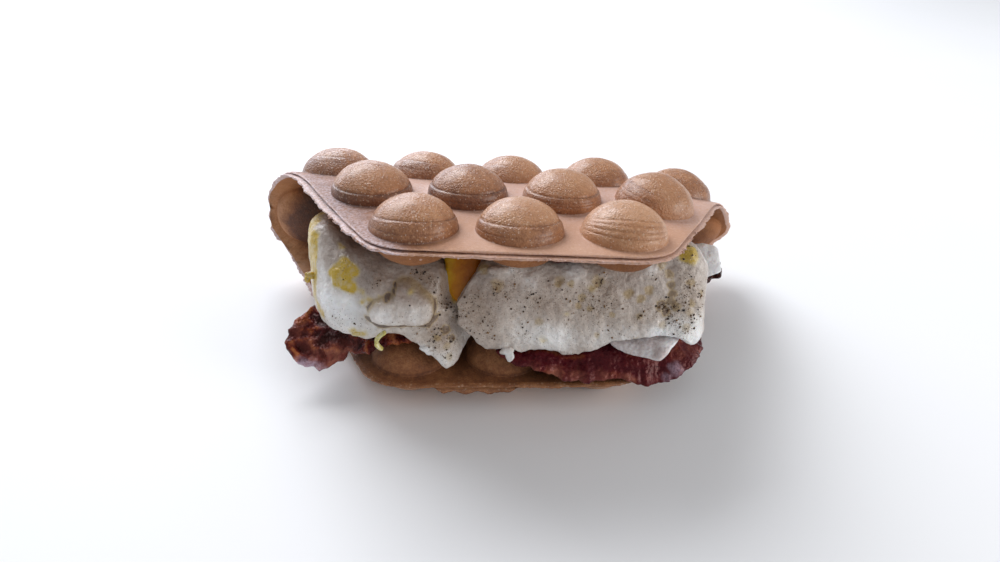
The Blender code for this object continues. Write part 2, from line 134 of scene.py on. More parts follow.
# The batter that hangs from the lower flap's front: its ends, how soon it is full and how deep, in mm
SKIRT_FROM, SKIRT_TO, SKIRT_RUN, SKIRT_DEEP = -28, 4.4, 5, 3

# The left egg's folded-over corner: its outline's x and z in mm, and how far it stands out
TONGUE = (
    (-48.6, 41.3), (-46.4, 43.8), (-42.2, 44.8), (-39.9, 45.6), (-39, 48.2), (-36.7, 48.8), (-34, 48.8),
    (-31.9, 47.5), (-28.9, 45.6), (-26.2, 43), (-25.7, 39.8), (-27.3, 37.7), (-29.6, 36.9), (-37.8, 36.5),
    (-44.7, 36.2), (-47.4, 38.1),
)
TONGUE_RISE = 3.2 * MM
# Where else the dressed pieces leave their nodes: the left egg's top left corner is lifted, its edge set
# back beside the yolk and the yolk's tip moved (mm); the thin white's far lobe is lower; the left rasher
# has a notch at an x, with its half width and depth (mm)
CORNER_LIFT = 6.5 * MM
EDGE_BACK = 4 * MM
YOLK_TIP = (-0.6, -3.2, -5)
LOBE_DROP = 3.4 * MM
NOTCH_X, NOTCH_WIDE, NOTCH_DEEP = -61, 6.5, 4.5 * MM

# Marks on the eggs: x, y and z in mm, the radius in mm and the strength
YELLOW = (
    (-58.8, -26.8, 55.1, 1.6, 0.9), (-57.7, -31.9, 54.6, 1.6, 0.8), (-59.3, -34.6, 51, 2.2, 1),
    (-56.1, -35.1, 52.1, 2.2, 1), (-53.3, -36.3, 50.9, 1.7, 0.9), (-60.1, -36.6, 47.4, 1.9, 0.95),
    (-56.5, -38.2, 46.9, 2.1, 1), (-53.8, -39.3, 45.6, 1.6, 0.7), (-50.6, -40.5, 45.1, 1.6, 0.45),
    (-62.1, -33.9, 48.9, 1.2, 0.8), (-70.3, -13.4, 51.4, 2.6, 0.6), (-69.2, -21.7, 52.1, 2.4, 0.6),
    (-69.6, -23.5, 48.9, 2.4, 0.8), (-69.6, -25.5, 46, 2.5, 0.9), (-70, -27.1, 42.8, 2.9, 0.95),
    (-69.4, -28.6, 39.9, 2.5, 0.8), (-69.4, -29.6, 35.8, 2.2, 0.6), (-68.2, -33.6, 34.3, 2, 0.9),
    (-66.2, -37.2, 33.4, 1.8, 0.8), (-54.6, -44.4, 32.1, 1.8, 0.4), (-53, -45.3, 30.4, 2, 0.45),
    (-50.1, -45.5, 31.3, 1.4, 0.4), (-50.7, -42.2, 41.8, 1.4, 0.5), (-47.7, -43, 44, 1.3, 0.6),
    (-44.6, -42.8, 45.1, 0.8, 0.5), (-33.6, -40.5, 47.2, 1.4, 0.5), (-19.5, -38.9, 40.2, 1.4, 0.9),
    (-18.4, -42.5, 39.4, 1, 0.4), (60.4, -30.2, 58.2, 2, 1), (62.7, -32, 56.5, 2.3, 1),
    (62.9, -33.9, 54.8, 2, 0.9), (59.7, -33.7, 55.1, 1.6, 0.7), (11.5, -46.5, 28.8, 2.3, 0.45),
    (19.6, -43.1, 38.1, 1.4, 0.45), (28.5, -39.1, 45.8, 1.8, 0.5), (43.6, -46.4, 28.6, 1.6, 0.4),
    (-71, -3, 48, 3, 0.6), (-71.5, -9, 47.5, 3, 0.8), (-71.5, -15, 46.5, 2.8, 0.8),
    (-71, -20, 46.5, 2.6, 0.8), (-71, -24, 42, 2.4, 0.9),
)
BROWN = (
    (-67.5, -2.5, 48.6, 1.5, 0.3), (-41.6, -42.6, 45.3, 1, 0.5), (-39.6, -41.5, 46.6, 0.8, 0.6),
    (-39.3, -39.6, 47.8, 0.8, 0.5), (-27.7, -45.8, 35, 1.4, 0.6), (-22.4, -43.8, 31.3, 1.7, 0.6),
    (-20.7, -43.7, 27.6, 1.4, 0.6), (-25.5, -45.6, 29.2, 1.4, 0.4), (-22.1, -45.4, 25.4, 1.4, 0.3),
    (-21.4, -46.4, 21.2, 1.4, 0.3), (-9.2, -35.5, 51.6, 2.1, 0.35), (-4.7, -38.9, 46.9, 2.1, 0.3),
    (16.9, -38.2, 48.5, 1.7, 0.3), (16.3, -38.8, 47.3, 1.4, 0.4), (20.8, -38.8, 47.3, 1.2, 0.4),
    (30.2, -37.9, 47.5, 2.1, 0.4), (24.7, -41, 42.9, 1.4, 0.4), (23.7, -42.2, 40.4, 1.2, 0.4),
    (27.6, -42.5, 39.3, 1, 0.4), (41, -40.5, 44.2, 1.7, 0.4), (48, -39.5, 45.2, 1.6, 0.4),
    (45.3, -40.9, 42.4, 1.6, 0.4), (10, -44.2, 35, 1.4, 0.3), (30.5, -45.6, 30.3, 1.1, 0.35),
    (45.1, -43.9, 37.2, 1.2, 0.35), (35.3, -43.7, 37.6, 1, 0.35), (52.4, -34.9, 53, 1.7, 0.45),
    (54.8, -37.1, 50.3, 1.6, 0.45), (55.8, -39.1, 47.1, 1.6, 0.5), (56.3, -40.5, 44.2, 1.6, 0.5),
    (55.8, -41.5, 41.9, 1.7, 0.5), (52.4, -42.1, 40.3, 1.9, 0.65), (54.2, -43.1, 38.4, 1.7, 0.55),
    (57.6, -42.4, 40, 1.6, 0.45), (62.5, -38.6, 47.6, 1.4, 0.4), (63.3, -41.8, 40.9, 1.4, 0.4),
    (62.7, -43, 38.3, 1.4, 0.3), (53.4, -45, 34.1, 1.4, 0.3), (61.3, -45, 33.3, 1.4, 0.35),
    (67, -39, 44, 1, 0.4), (-71.5, 0, 47, 3, 0.35),
)
# Painted light: places where the whites are painted paler because they are lit
PALE = (
    (-64.3, -37.6, 39.7, 5, 0.5), (-58.5, -41.1, 40.2, 5.5, 0.5), (-54.2, -41.5, 39, 4, 0.4),
    (-61.3, -41.9, 32.1, 5, 0.3), (-54.6, -44.1, 33.8, 4.5, 0.3), (-47.6, -45.6, 32.8, 4, 0.15),
    (-66, -33, 46, 4, 0.25), (-66, -26, 50, 4, 0.1), (-42.6, -45.5, 40.4, 6, 0.2), (-33, -45, 42, 5, 0.15),
    (-24, -46, 21, 5, 0.3), (-29.8, -46.8, 24.5, 3, 0.5), (0.1, -35.7, 51.8, 4, 0.25),
    (6.9, -38.8, 47.7, 4, 0.25), (3.4, -44.5, 31, 7, 0.25), (12.1, -45.6, 30, 7, 0.35),
    (18.2, -46.2, 28.5, 6, 0.4), (31.7, -46, 28.3, 7, 0.3), (41.4, -46.4, 29.5, 5, 0.25),
    (22.2, -35.8, 51.1, 5, 0.3), (48, -36, 52, 3.5, 0.35), (56.7, -45.5, 30.5, 6, 0.7),
    (63.6, -46.4, 27.5, 6, 0.8), (-0.3, -48.9, 23, 4, 0.4), (66, -42, 36, 3, 0.3), (50, -45, 30, 4, 0.3),
    (63, -46, 31, 7, 0.4), (52, -46, 28, 5, 0.4),
)
# Painted shade: places where the whites are painted greyer because they lie in shade
GREY = (
    (-49.5, -39.7, 47.5, 5, 0.25), (-44.5, -36.4, 51.4, 7, 0.1), (-39.5, -34.2, 53.2, 7, 0.1),
    (-36, -44.5, 42, 9, 0.1), (-24, -44, 31, 7, 0.34), (-24.3, -42.5, 39, 5, 0.16),
    (-30, -38, 49.5, 5, 0.12), (-10, -42, 42, 9, 0.2), (-9, -36, 52, 7, 0.25), (12, -42, 40, 8, 0.12),
    (40, -38, 48, 8, 0.12), (-22, -38, 46, 6, 0.2),
)
# Pepper on the eggs: x, y and z, the radius in mm and the count of grains
PEPPER = (
    (-30, -37, 50.2, 2, 9), (-27.6, -37.7, 48.6, 2, 7), (-33.7, -37.4, 49.6, 1.7, 3),
    (-31.7, -36.5, 51.1, 1.4, 3), (-44.9, -39.8, 49.2, 1, 3), (-45.9, -40.8, 48.2, 1.3, 3),
    (-56.1, -35.5, 51.6, 4.1, 3), (-24.2, -39.5, 45.3, 3.1, 9), (-21.9, -40.6, 39.7, 3.1, 22),
    (-19.2, -40.4, 35.3, 2.1, 12), (-60.8, -42.1, 33.6, 4.9, 7), (-52.4, -44.5, 34.1, 2.8, 4),
    (-36, -46, 38.2, 4.8, 5), (-27.6, -45.5, 36.1, 2.1, 6), (-24.4, -44.9, 30.8, 3.1, 22),
    (-21, -44.1, 27.1, 2.8, 16), (-26.5, -46.1, 27.8, 2.8, 10), (-22.5, -46.7, 22.3, 3.2, 8),
    (-31.9, -45.7, 31.5, 3.5, 5), (-14, -45, 32.2, 2.8, 5), (-12.2, -41.2, 42.3, 3.1, 14),
    (-15.3, -43, 38.4, 2.8, 8), (-4.7, -39.3, 46.4, 2.1, 10), (-5, -40.5, 44.3, 1.7, 6),
    (-1.3, -41, 43.8, 1.7, 5), (1.5, -39.6, 46.2, 1.7, 4), (1.1, -37.2, 49.9, 1.7, 4),
    (-9.1, -43.7, 36.4, 3.5, 12), (-7, -45.8, 30.6, 3.1, 8), (1, -45.9, 29.8, 2.4, 4),
    (6.2, -45.3, 31, 2.4, 4), (6.6, -41, 43.8, 2.1, 5), (10.1, -41.6, 41.7, 2.1, 4),
    (17, -40.6, 43.9, 6.9, 10), (24, -41.4, 42.3, 5.5, 10), (30.9, -38.1, 47.2, 3.1, 12),
    (33, -41.3, 42.2, 4.2, 12), (31.1, -42.8, 39, 4.9, 12), (45.1, -43.9, 37.2, 2.8, 9),
    (48.8, -37.5, 49.7, 2.1, 5), (53, -42, 40.6, 2.4, 24), (54.9, -43.3, 38.1, 2.4, 14),
    (57.6, -42.5, 39.7, 2.4, 10), (60.3, -41.4, 42.3, 3.1, 12), (63, -39.7, 45.3, 3.1, 14),
    (60.7, -37.4, 50, 2.8, 8), (66.6, -39.6, 43.1, 1.7, 9), (66.6, -41.7, 38.2, 2.1, 7),
    (61, -45.5, 32.3, 2.8, 12), (56.5, -44.5, 35.1, 2.4, 10), (62.9, -43.8, 36.2, 2.8, 9),
    (61, -30.9, 57.8, 2.4, 10), (62.2, -33.9, 54.8, 2.4, 6), (35.7, -45.8, 30.4, 6.3, 6),
    (17.4, -45.3, 32.3, 10.5, 9), (3.3, -43.4, 37.4, 5.5, 8), (30.6, -32.6, 52.3, 2.8, 3),
)
PEPPER_SHARE = 1.5
PEPPER_SIZES = (0.1, 0.12, 0.15, 0.19, 0.25, 0.36)
# Lumps and hollows of the eggs: x, y and z, the radius and how far they stand out, in mm
LUMPS = (
    (-5.7, -36.7, 50.4, 4, 1.3), (0.2, -35.7, 51.8, 3.5, 0.9), (7.3, -38.8, 47.7, 3.5, 0.7),
    (48, -36, 52, 4, 0.9), (22, -36, 51, 5, 0.8), (54.8, -35.9, 51.9, 2.6, -0.8),
    (55.4, -39, 46.5, 2.6, -0.9), (54.6, -42.5, 40, 2.6, -0.8), (54, -44.5, 35.5, 2.4, -0.5),
    (62.7, -33, 56, 3, 0.7), (60, -45.5, 31, 6, 0.6), (16.5, -38.6, 47.9, 1.6, -0.35),
    (20.8, -38.8, 47.3, 1.3, -0.3), (30, -38.2, 47.5, 2.4, -0.35), (24.7, -41, 42.9, 1.4, -0.3),
    (23.7, -42.2, 40.4, 1.3, -0.3), (41, -40.5, 44.2, 1.8, -0.35), (48, -39.5, 45.2, 1.7, -0.35),
    (45.3, -40.9, 42.4, 1.6, -0.3), (12.5, -40, 45, 3, 0.35), (35.5, -40, 44.5, 3, 0.35),
    (28, -40.5, 43.6, 2.2, 0.3), (38, -43, 39, 3, 0.3), (-58.5, -40.5, 41, 5, 0.5),
    (-61.5, -35.5, 45.5, 2.5, -0.4), (-62, -41.5, 33.5, 4, 0.5), (-50.5, -43.5, 37.5, 3, -0.5),
    (-24, -41, 41, 4, -0.6), (-21.5, -42, 35.5, 3, -0.4), (-47, -38, 49, 4, 0.4),
)
# Loose beads of white on the eggs: x, y and z, the three half sizes in mm, and how yellow they are
BEADS = {
    "egg_left": (
        (-29.6, -46.3, 25.4, 2.2, 0.9, 1.5, 0), (-28, -46.5, 23.8, 1.7, 0.9, 1.1, 0),
        (-71, -27.2, 42.8, 1.9, 0.9, 0.9, 1), (-72.2, -27.4, 41.6, 0.9, 0.8, 1.2, 1),
        (-53.6, -44.6, 30.4, 2.2, 0.8, 1.2, 0.4),
    ),
    "egg_right": (
        (-1.2, -48, 25, 2.8, 0.8, 1.3, 0), (-0.2, -48.5, 23.4, 1.5, 0.7, 1.9, 0),
        (-3.4, -36.4, 51, 4.2, 1, 1.3, 0),
    ),
}

# Each rasher's middle line, x and y in mm, and marks on it: x, y and z, the radius in mm and the strength
LEFT_ROUTE = (
    (-83.5, -32.5), (-80.5, -30), (-74, -27), (-62, -25.5), (-36, -24), (2, -12), (42, -2), (74, 8),
    (86.5, 6.5),
)
RIGHT_ROUTE = ((-7, -38), (12, -40), (26, -39.6), (54, -38.8), (60.5, -33.5), (62.5, -25), (61.5, -17))
CRUMB_ROUTE = ((8, -31.6), (25, -31.2))
FAT = (
    (-65.2, -38.5, 14.5, 4.5, 0.95), (-69, -38.4, 14, 3.4, 0.9), (-59.3, -37.5, 17.4, 4, 0.8),
    (-77.8, -31.5, 18.8, 3.5, 0.4), (-77.7, -27.9, 21.3, 2.6, 0.35), (-73.6, -34.3, 16.7, 3.5, 0.35),
    (8, -50.4, 19.6, 2.5, 0.35), (16, -51.6, 17.2, 3, 0.6), (24, -52, 15.6, 3.5, 0.7),
    (33, -52.2, 14.4, 3.5, 0.7), (42, -52, 13.6, 3, 0.6), (68.6, -38.4, 18.6, 3, 0.4),
    (63, -42, 18, 3, 0.3),
)
# Painted glints: lavender-white highlights painted on the rashers' crinkled ends
SILVER = (
    (-72.8, -41.3, 11.9, 3, 1), (-76.5, -39.2, 11.5, 3, 1), (-69.5, -42, 12, 2.4, 0.8),
    (61, -47, 15, 2.6, 0.5), (57.5, -49.5, 13.5, 2, 0.35),
)

# Crumbs on the upper lip: how many, and clusters with their x, y and z, half width in mm and count
LIP_CRUMBS = 110
CRUMB_CLUSTERS = ((-33.2, -48.6, 64.2, 2.4, 5), (-27.4, -47.8, 63.6, 2, 4), (-22, -47.6, 63.9, 1.6, 3))

FULL = (0, 1)
FREE = (-np.inf, np.inf)


def ease(value, start, width):
    """0 up to start, 1 from start + width on, and smooth between."""
    share = np.clip((value - start) / width, 0, 1)
    return share * share * (3 - 2 * share)


def fade(value, start, width):
    """1 up to start, 0 from start + width on, and smooth between."""
    return 1 - ease(value, start, width)


def bell(value, middle, width):
    """1 at the middle and soon 0 on both sides."""
    return np.exp(-(((value - middle) / width) ** 2))


def flat_direction(degrees):
    angle = math.radians(degrees)
    return Vector((math.cos(angle), math.sin(angle)))


def link(thing):
    bpy.context.scene.collection.objects.link(thing)


def to_mesh(bm, name):
    mesh = bpy.data.meshes.new(name)
    bm.to_mesh(mesh)
    bm.free()
    return mesh


# The waffle

def fold_profile():
    """Rows with the sheet's y and z there, from the upper flap's front round to the lower flap's."""
    rows = np.linspace(FOLD_ROWS[0], FOLD_ROWS[-1], FOLD_STEPS + 1)
    turn = np.radians(np.interp(-rows, [-row for row in FOLD_ROWS], FOLD_DEGREES))
    step = ROW_STEP * (rows[0] - rows[1])
    mean = (turn[1:] + turn[:-1]) / 2
    y = np.concatenate([[0], np.cumsum(np.cos(mean) * step)])
    z = np.concatenate([[0], np.cumsum(np.sin(mean) * step)])
    y += UPPER_FRONT_Y - np.interp(-LAST_ROW, -rows, y)
    z += LOWER_FLAP_Z - np.interp(LAST_ROW, -rows, z)
    return -rows, y, z


PROFILE = fold_profile()


def on_sheet(u, v):
    """Points of the folded sheet's middle surface, u along the rows and v across them."""
    row = v / ROW_STEP
    beyond = np.maximum(0, u / PITCH - DROOP_START)
    droop = DROOP * beyond**2 / (1 + beyond**2 / 4)
    x = u + LOWER_SHIFT * fade(row, -0.5, 1)
    y = np.interp(-row, PROFILE[0], PROFILE[1])
    z = np.interp(-row, PROFILE[0], PROFILE[2]) + BANK * u * ease(row, -0.3, 1)
    z = z - droop * ease(row, -DROOP_ROWS, DROOP_ROWS)
    return np.stack([x, y, z], axis=-1)


def out_of_sheet(u, v):
    """The unit vectors that point out of the fold."""
    step = 0.1 * MM
    along = on_sheet(u + step, v) - on_sheet(u - step, v)
    across = on_sheet(u, v + step) - on_sheet(u, v - step)
    normal = np.cross(across, along)
    return normal / np.linalg.norm(normal, axis=-1, keepdims=True)


def bubble_places():
    """Every bubble as its row and its place in half pitches from the middle."""
    places = []
    for row in range(LAST_ROW, -LAST_ROW - 1, -1):
        count = MIDDLE_COUNT - abs(row)
        places += [(row, 2 * index - count + 1) for index in range(count)]
    return places


PLACES = bubble_places()
NEIGHBOURS = ((0, 2), (1, 1), (1, -1), (0, -2), (-1, -1), (-1, 1))


def corner_reach(place):
    """How far the sheet reaches at a bubble's free corners."""
    if place[0]:
        return SHEET_EDGE
    return LEFT_CORNER if place[1] < 0 else RIGHT_CORNER


def has_neighbour(place, side):
    step = NEIGHBOURS[side % 6]
    return (place[0] + step[0], place[1] + step[1]) in PLACES


def cell_corner(place, corner):
    """A corner of a bubble's cell, from its middle out to the sheet's edge, and whether it is free."""
    before = has_neighbour(place, corner)
    after = has_neighbour(place, corner + 1)
    if before and after:
        return flat_direction(60 * corner + 30) * PITCH / math.sqrt(3), False
    if before or after:
        along, out = (0, 90) if before else (60, -30)
        shared_side = flat_direction(60 * corner + along) * PITCH / 2
        return shared_side + flat_direction(60 * corner + out) * SHEET_EDGE, False
    return flat_direction(60 * corner + 30) * corner_reach(place), True


def border_point(place, step):
    """The point of a bubble's cell border at a step round it, from the bubble's middle."""
    degrees = step * 360 / AROUND
    side, share = divmod((degrees + 30) / 60, 1)
    start, start_free = cell_corner(place, int(side) - 1)
    end, end_free = cell_corner(place, int(side))
    if start_free and end_free and not has_neighbour(place, int(side)):
        square = abs(2 * share - 1)
        return flat_direction(degrees) * (SHEET_EDGE + (corner_reach(place) - SHEET_EDGE) * square)
    return start.lerp(end, share)


def spun_disc(rings):
    """A flat disc spun from a straight line, a ring of points for each value in rings."""
    bm = bmesh.new()
    ring = bm.verts.layers.float.new("ring")
    line = [bm.verts.new((place, 0, 0)) for place in rings]
    for vert, place in zip(line, rings):
        vert[ring] = place
    edges = [bm.edges.new(pair) for pair in zip(line, line[1:])]
    turn = {"cent": (0, 0, 0), "axis": (0, 0, 1), "angle": 2 * math.pi, "steps": AROUND}
    bmesh.ops.spin(bm, geom=line + edges, use_merge=True, **turn)
    bmesh.ops.remove_doubles(bm, verts=bm.verts, dist=1e-4)
    return to_mesh(bm, "disc")


def own_creases(place, draw):
    """A bubble's creases, drawn at random where the set doesn't give them."""
    first = draw.uniform(46, 57)
    drawn = (
        first, first + draw.uniform(8, 12), first + 18, 73, draw.uniform(-40, 40), draw.uniform(40, 110),
        (draw.uniform(0.12, 0.24), 0, draw.choice((0, 0.06)), draw.choice((0, 0.1))),
    )
    return CREASES.get(place, drawn)


def crease_rise(ring, depths):
    """How far a bubble's surface stands out at a ring because of its creases, in mm."""
    rise = depths[0] * np.interp(ring, *BAND_FORM) + depths[3] * np.interp(ring, *LAST_FORM)
    for start, depth in zip(CREASE_RINGS[1:3], depths[1:3]):
        if -0.1 < ring - start < 0.18:
            rise += depth * np.interp(ring - start, *GROOVE_FORM)
    return rise


def crease_line(ring, depths):
    """How deep in a crease a ring is, from 0 to 1."""
    return min(1, sum(depth / 0.3 * bell(ring, start, 0.06) for start, depth in zip(CREASE_RINGS, depths)))


def shape_bubble(verts, layers, place, face, draw, creases):
    """Sets one spun disc as a bubble's face: a dome, its foot and the web out to the cell's border."""
    ring, lift, seat_u, seat_v, side, band, crease = layers
    middle = Vector((place[1] * PITCH / 2, place[0] * ROW_STEP))
    rise = (OUTER_RISE if face > 0 else INNER_RISE) * (1 + UNEVEN * draw.uniform(-1, 1))
    radius_here = BUBBLE_RADIUS * (1 + UNEVEN / 3 * draw.uniform(-1, 1))
    lean = Vector((draw.uniform(-1, 1), draw.uniform(-1, 1))) * UNEVEN * BUBBLE_RADIUS
    first, first_side, last, last_side, turned, reach, depths = creases
    for vert in verts:
        here = vert[ring]
        degrees = math.degrees(math.atan2(vert.co.y, vert.co.x)) if here else 0
        away = math.radians((90 - degrees - turned + 180) % 360 - 180)
        slope = min(1.15, 1 - math.cos(away))
        hold = float(fade(abs(math.degrees(away)), reach * 0.55, reach * 0.45))
        one = first + (first_side - first) * slope
        two = min(max(last + (last_side - last) * slope, one + 5), FOOT_DEGREES - 2)
        one = min(one, two - 4)
        polar = math.radians(float(np.interp(here, (0, 1, 2, 3), (0, one, two, FOOT_DEGREES))))
        out = crease_rise(min(here, 3), depths) * MM * hold if face > 0 else 0
        radius = (radius_here + out) * math.sin(polar)
        height = (rise + out) * math.cos(polar) - WEB / 2
        if here <= 3:
            offset = flat_direction(degrees) * radius + lean * (1 - math.degrees(polar) / FOOT_DEGREES)
        elif here < 4:
            bend = (here - 3) * 2
            corner = Vector((radius + 0.1 * MM, 0.05 * MM))
            start, end = Vector((radius, height)), Vector((radius + FOOT_REACH, 0))
            spot = start.lerp(corner, bend).lerp(corner.lerp(end, bend), bend)
            offset, height = flat_direction(degrees) * spot.x, spot.y
        else:
            offset, height = border_point(place, round(degrees * AROUND / 360) % AROUND), 0
        vert.co = (middle.x + offset.x, middle.y + offset.y, face * WEB / 2)
        vert[lift] = face * height
        vert[seat_u], vert[seat_v] = middle
        vert[side] = face
        if face > 0 and 0.9 < here < 3.1:
            vert[band] = hold * ease(here, 0.95, 0.12) * min(1, depths[0] / 0.26)
            vert[crease] = hold * crease_line(here, depths)


def rough(place, *layers):
    """Noise at one place: each layer is its size in mm and its strength."""
    return sum(strength * noise.noise(place / (size * MM)) for size, strength in layers)


def ragged(vert):
    """How far the lower lip sticks out here: more at the left, where it is the most broken."""
    place = Vector((vert.co.x, vert.co.y, 0))
    row = vert.co.y / ROW_STEP
    at_left = vert.co.x < 0
    share = np.interp(row, *LEFT_RAGGED) if at_left else RIGHT_RAGGED
    jut = np.interp(row, *LEFT_JUT) if at_left else 0
    torn = rough(place, (11, 1), (4.5, 0.7), (1.8, 0.45)) * 1.15 * share + rough(place, (0.9, 0.25))
    return float(max(-0.7, torn) + jut) * MM


def skirt(vert):
    """How far the batter hangs down from the lower flap's edge here."""
    if vert.co.y > -LAST_ROW * ROW_STEP:
        return 0
    along = (vert.co.x + LOWER_SHIFT + SEAT.x) / MM
    share = ease(along, SKIRT_FROM, SKIRT_RUN) * fade(along, SKIRT_TO - SKIRT_RUN, SKIRT_RUN)
    waves = 0.4 * noise.noise(Vector((along / 4.5, 3, 0))) + 0.1 * noise.noise(Vector((along / 1.2, 7, 0)))
    return float(SKIRT_DEEP * MM * share * max(0.2, 0.8 + waves))


def add_lips(bm, out_layer, lip, dark, lift):
    """Joins the sheet's two faces with an edge of two lips and a groove."""
    bmesh.ops.subdivide_edges(bm, edges=[edge for edge in bm.edges if edge.is_boundary], cuts=2)
    for vert in {vert for edge in bm.edges if edge.is_boundary for vert in edge.verts}:
        total = Vector((0, 0))
        for edge in vert.link_edges:
            if edge.is_boundary:
                run = edge.other_vert(vert).co - vert.co
                normal = Vector((run.y, -run.x)).normalized()
                total += normal if normal.dot(vert.co.xy) > 0 else -normal
        vert[out_layer] = total.normalized().to_3d()
    upper = [edge for edge in bm.edges if edge.is_boundary and edge.verts[0].co.z > 0]
    lower = [edge for edge in bm.edges if edge.is_boundary and edge.verts[0].co.z < 0]
    reach_before = 0
    for row, (reach, height, _, _, gloom) in enumerate(LIPS):
        grown = bmesh.ops.extrude_edge_only(bm, edges=upper)["geom"]
        upper = [item for item in grown if isinstance(item, bmesh.types.BMEdge)]
        for vert in {vert for edge in upper for vert in edge.verts}:
            vert.co.xy = vert.co.xy + vert[out_layer].xy * (reach * MM - reach_before)
            vert.co.z = height * MM
            vert[lip] = row + 1
            vert[dark] = gloom
        reach_before = reach * MM
    bmesh.ops.bridge_loops(bm, edges=upper + lower)
    for vert in bm.verts:
        if vert[lip]:
            _, _, torn, hang, _ = LIPS[round(vert[lip]) - 1]
            drop = skirt(vert) * hang
            vert.co.xy = vert.co.xy + vert[out_layer].xy * (ragged(vert) * torn + drop * 0.35)
            vert[lift] = vert[lift] + drop


def sort_key(item):
    """A number that no other edge or face has, from the first of its points."""
    first, second, third = (sorted(vert.index for vert in item.verts) + [0])[:3]
    return (first * MORE_THAN_POINTS + second) * MORE_THAN_POINTS + third


def flat_waffle():
    """The waffle before it is folded: thirty bubbles on each face, merged at their cells' borders."""
    bm = bmesh.new()
    discs = {1: spun_disc(OUTER_RINGS), -1: spun_disc(INNER_RINGS)}
    names = ("ring", "lift", "seat_u", "seat_v", "side", "band", "crease")
    draw, crease_draw = random.Random(11), random.Random(5)
    for place in PLACES:
        creases = own_creases(place, crease_draw)
        for face in (1, -1):
            before = len(bm.verts)
            bm.from_mesh(discs[face])
            layers = [bm.verts.layers.float.get(name) or bm.verts.layers.float.new(name) for name in names]
            bm.verts.ensure_lookup_table()
            shape_bubble(bm.verts[before:], layers, place, face, draw, creases)
    ring = bm.verts.layers.float["ring"]
    bmesh.ops.remove_doubles(bm, verts=[vert for vert in bm.verts if vert[ring] > 3.9], dist=MERGE)
    out_layer = bm.verts.layers.float_vector.new("outward")
    lip, dark = bm.verts.layers.float.new("lip"), bm.verts.layers.float.new("dark")
    add_lips(bm, out_layer, lip, dark, bm.verts.layers.float["lift"])
    bmesh.ops.recalc_face_normals(bm, faces=bm.faces)
    # The spin leaves edges and faces in another order in each run
    bm.verts.index_update()
    bm.edges.sort(key=sort_key)
    bm.faces.sort(key=sort_key)
    return bm


def values_of(items, name, size=1):
    values = np.zeros(len(items) * size)
    items.foreach_get(name, values)
    return values.reshape(-1, size) if size > 1 else values


def column(mesh, name):
    return values_of(mesh.attributes[name].data, "value")


def places_of(mesh):
    return values_of(mesh.vertices, "co", 3)


def pushed(mesh, points, out):
    """The points moved out of the mesh along its normals, in mm."""
    return points + values_of(mesh.vertices, "normal", 3) * (out * MM)[:, None]


def set_places(mesh, points):
    mesh.vertices.foreach_set("co", np.ascontiguousarray(points, dtype=np.float32).ravel())
    mesh.update()


def set_marks(mesh, limits, **marks):
    """Sets values on the mesh's points, by name, held between the limits."""
    for name, values in marks.items():
        layer = mesh.attributes.get(name) or mesh.attributes.new(name, "FLOAT", "POINT")
        held = np.clip(np.broadcast_to(values, len(mesh.vertices)), *limits)
        layer.data.foreach_set("value", np.ascontiguousarray(held, dtype=np.float32))


def swell(points, *layers):
    """Smooth noise at each point: each layer is its size in mm, its strength and its seed."""
    total = np.zeros(len(points))
    for size, strength, seed in layers:
        shift = Vector((seed * 3.7, seed * 1.3, seed * 2.1))
        total += strength * np.array([noise.noise(Vector(point) / (size * MM) + shift) for point in points])
    return total


def own_browning(mesh):
    """How brown each point's bubble is, and how much browner its band."""
    rows = np.rint(column(mesh, "seat_v") / ROW_STEP)
    halves = np.rint(column(mesh, "seat_u") / (PITCH / 2))
    own, extra = np.zeros(len(rows)), np.zeros(len(rows))
    draw = random.Random(21)
    for place in PLACES:
        drawn = (draw.uniform(*BROWN_RANGE), BAND_BROWNING)
        here = (rows == place[0]) & (halves == place[1])
        own[here], extra[here] = BROWNING.get(place, drawn)
    return own, extra


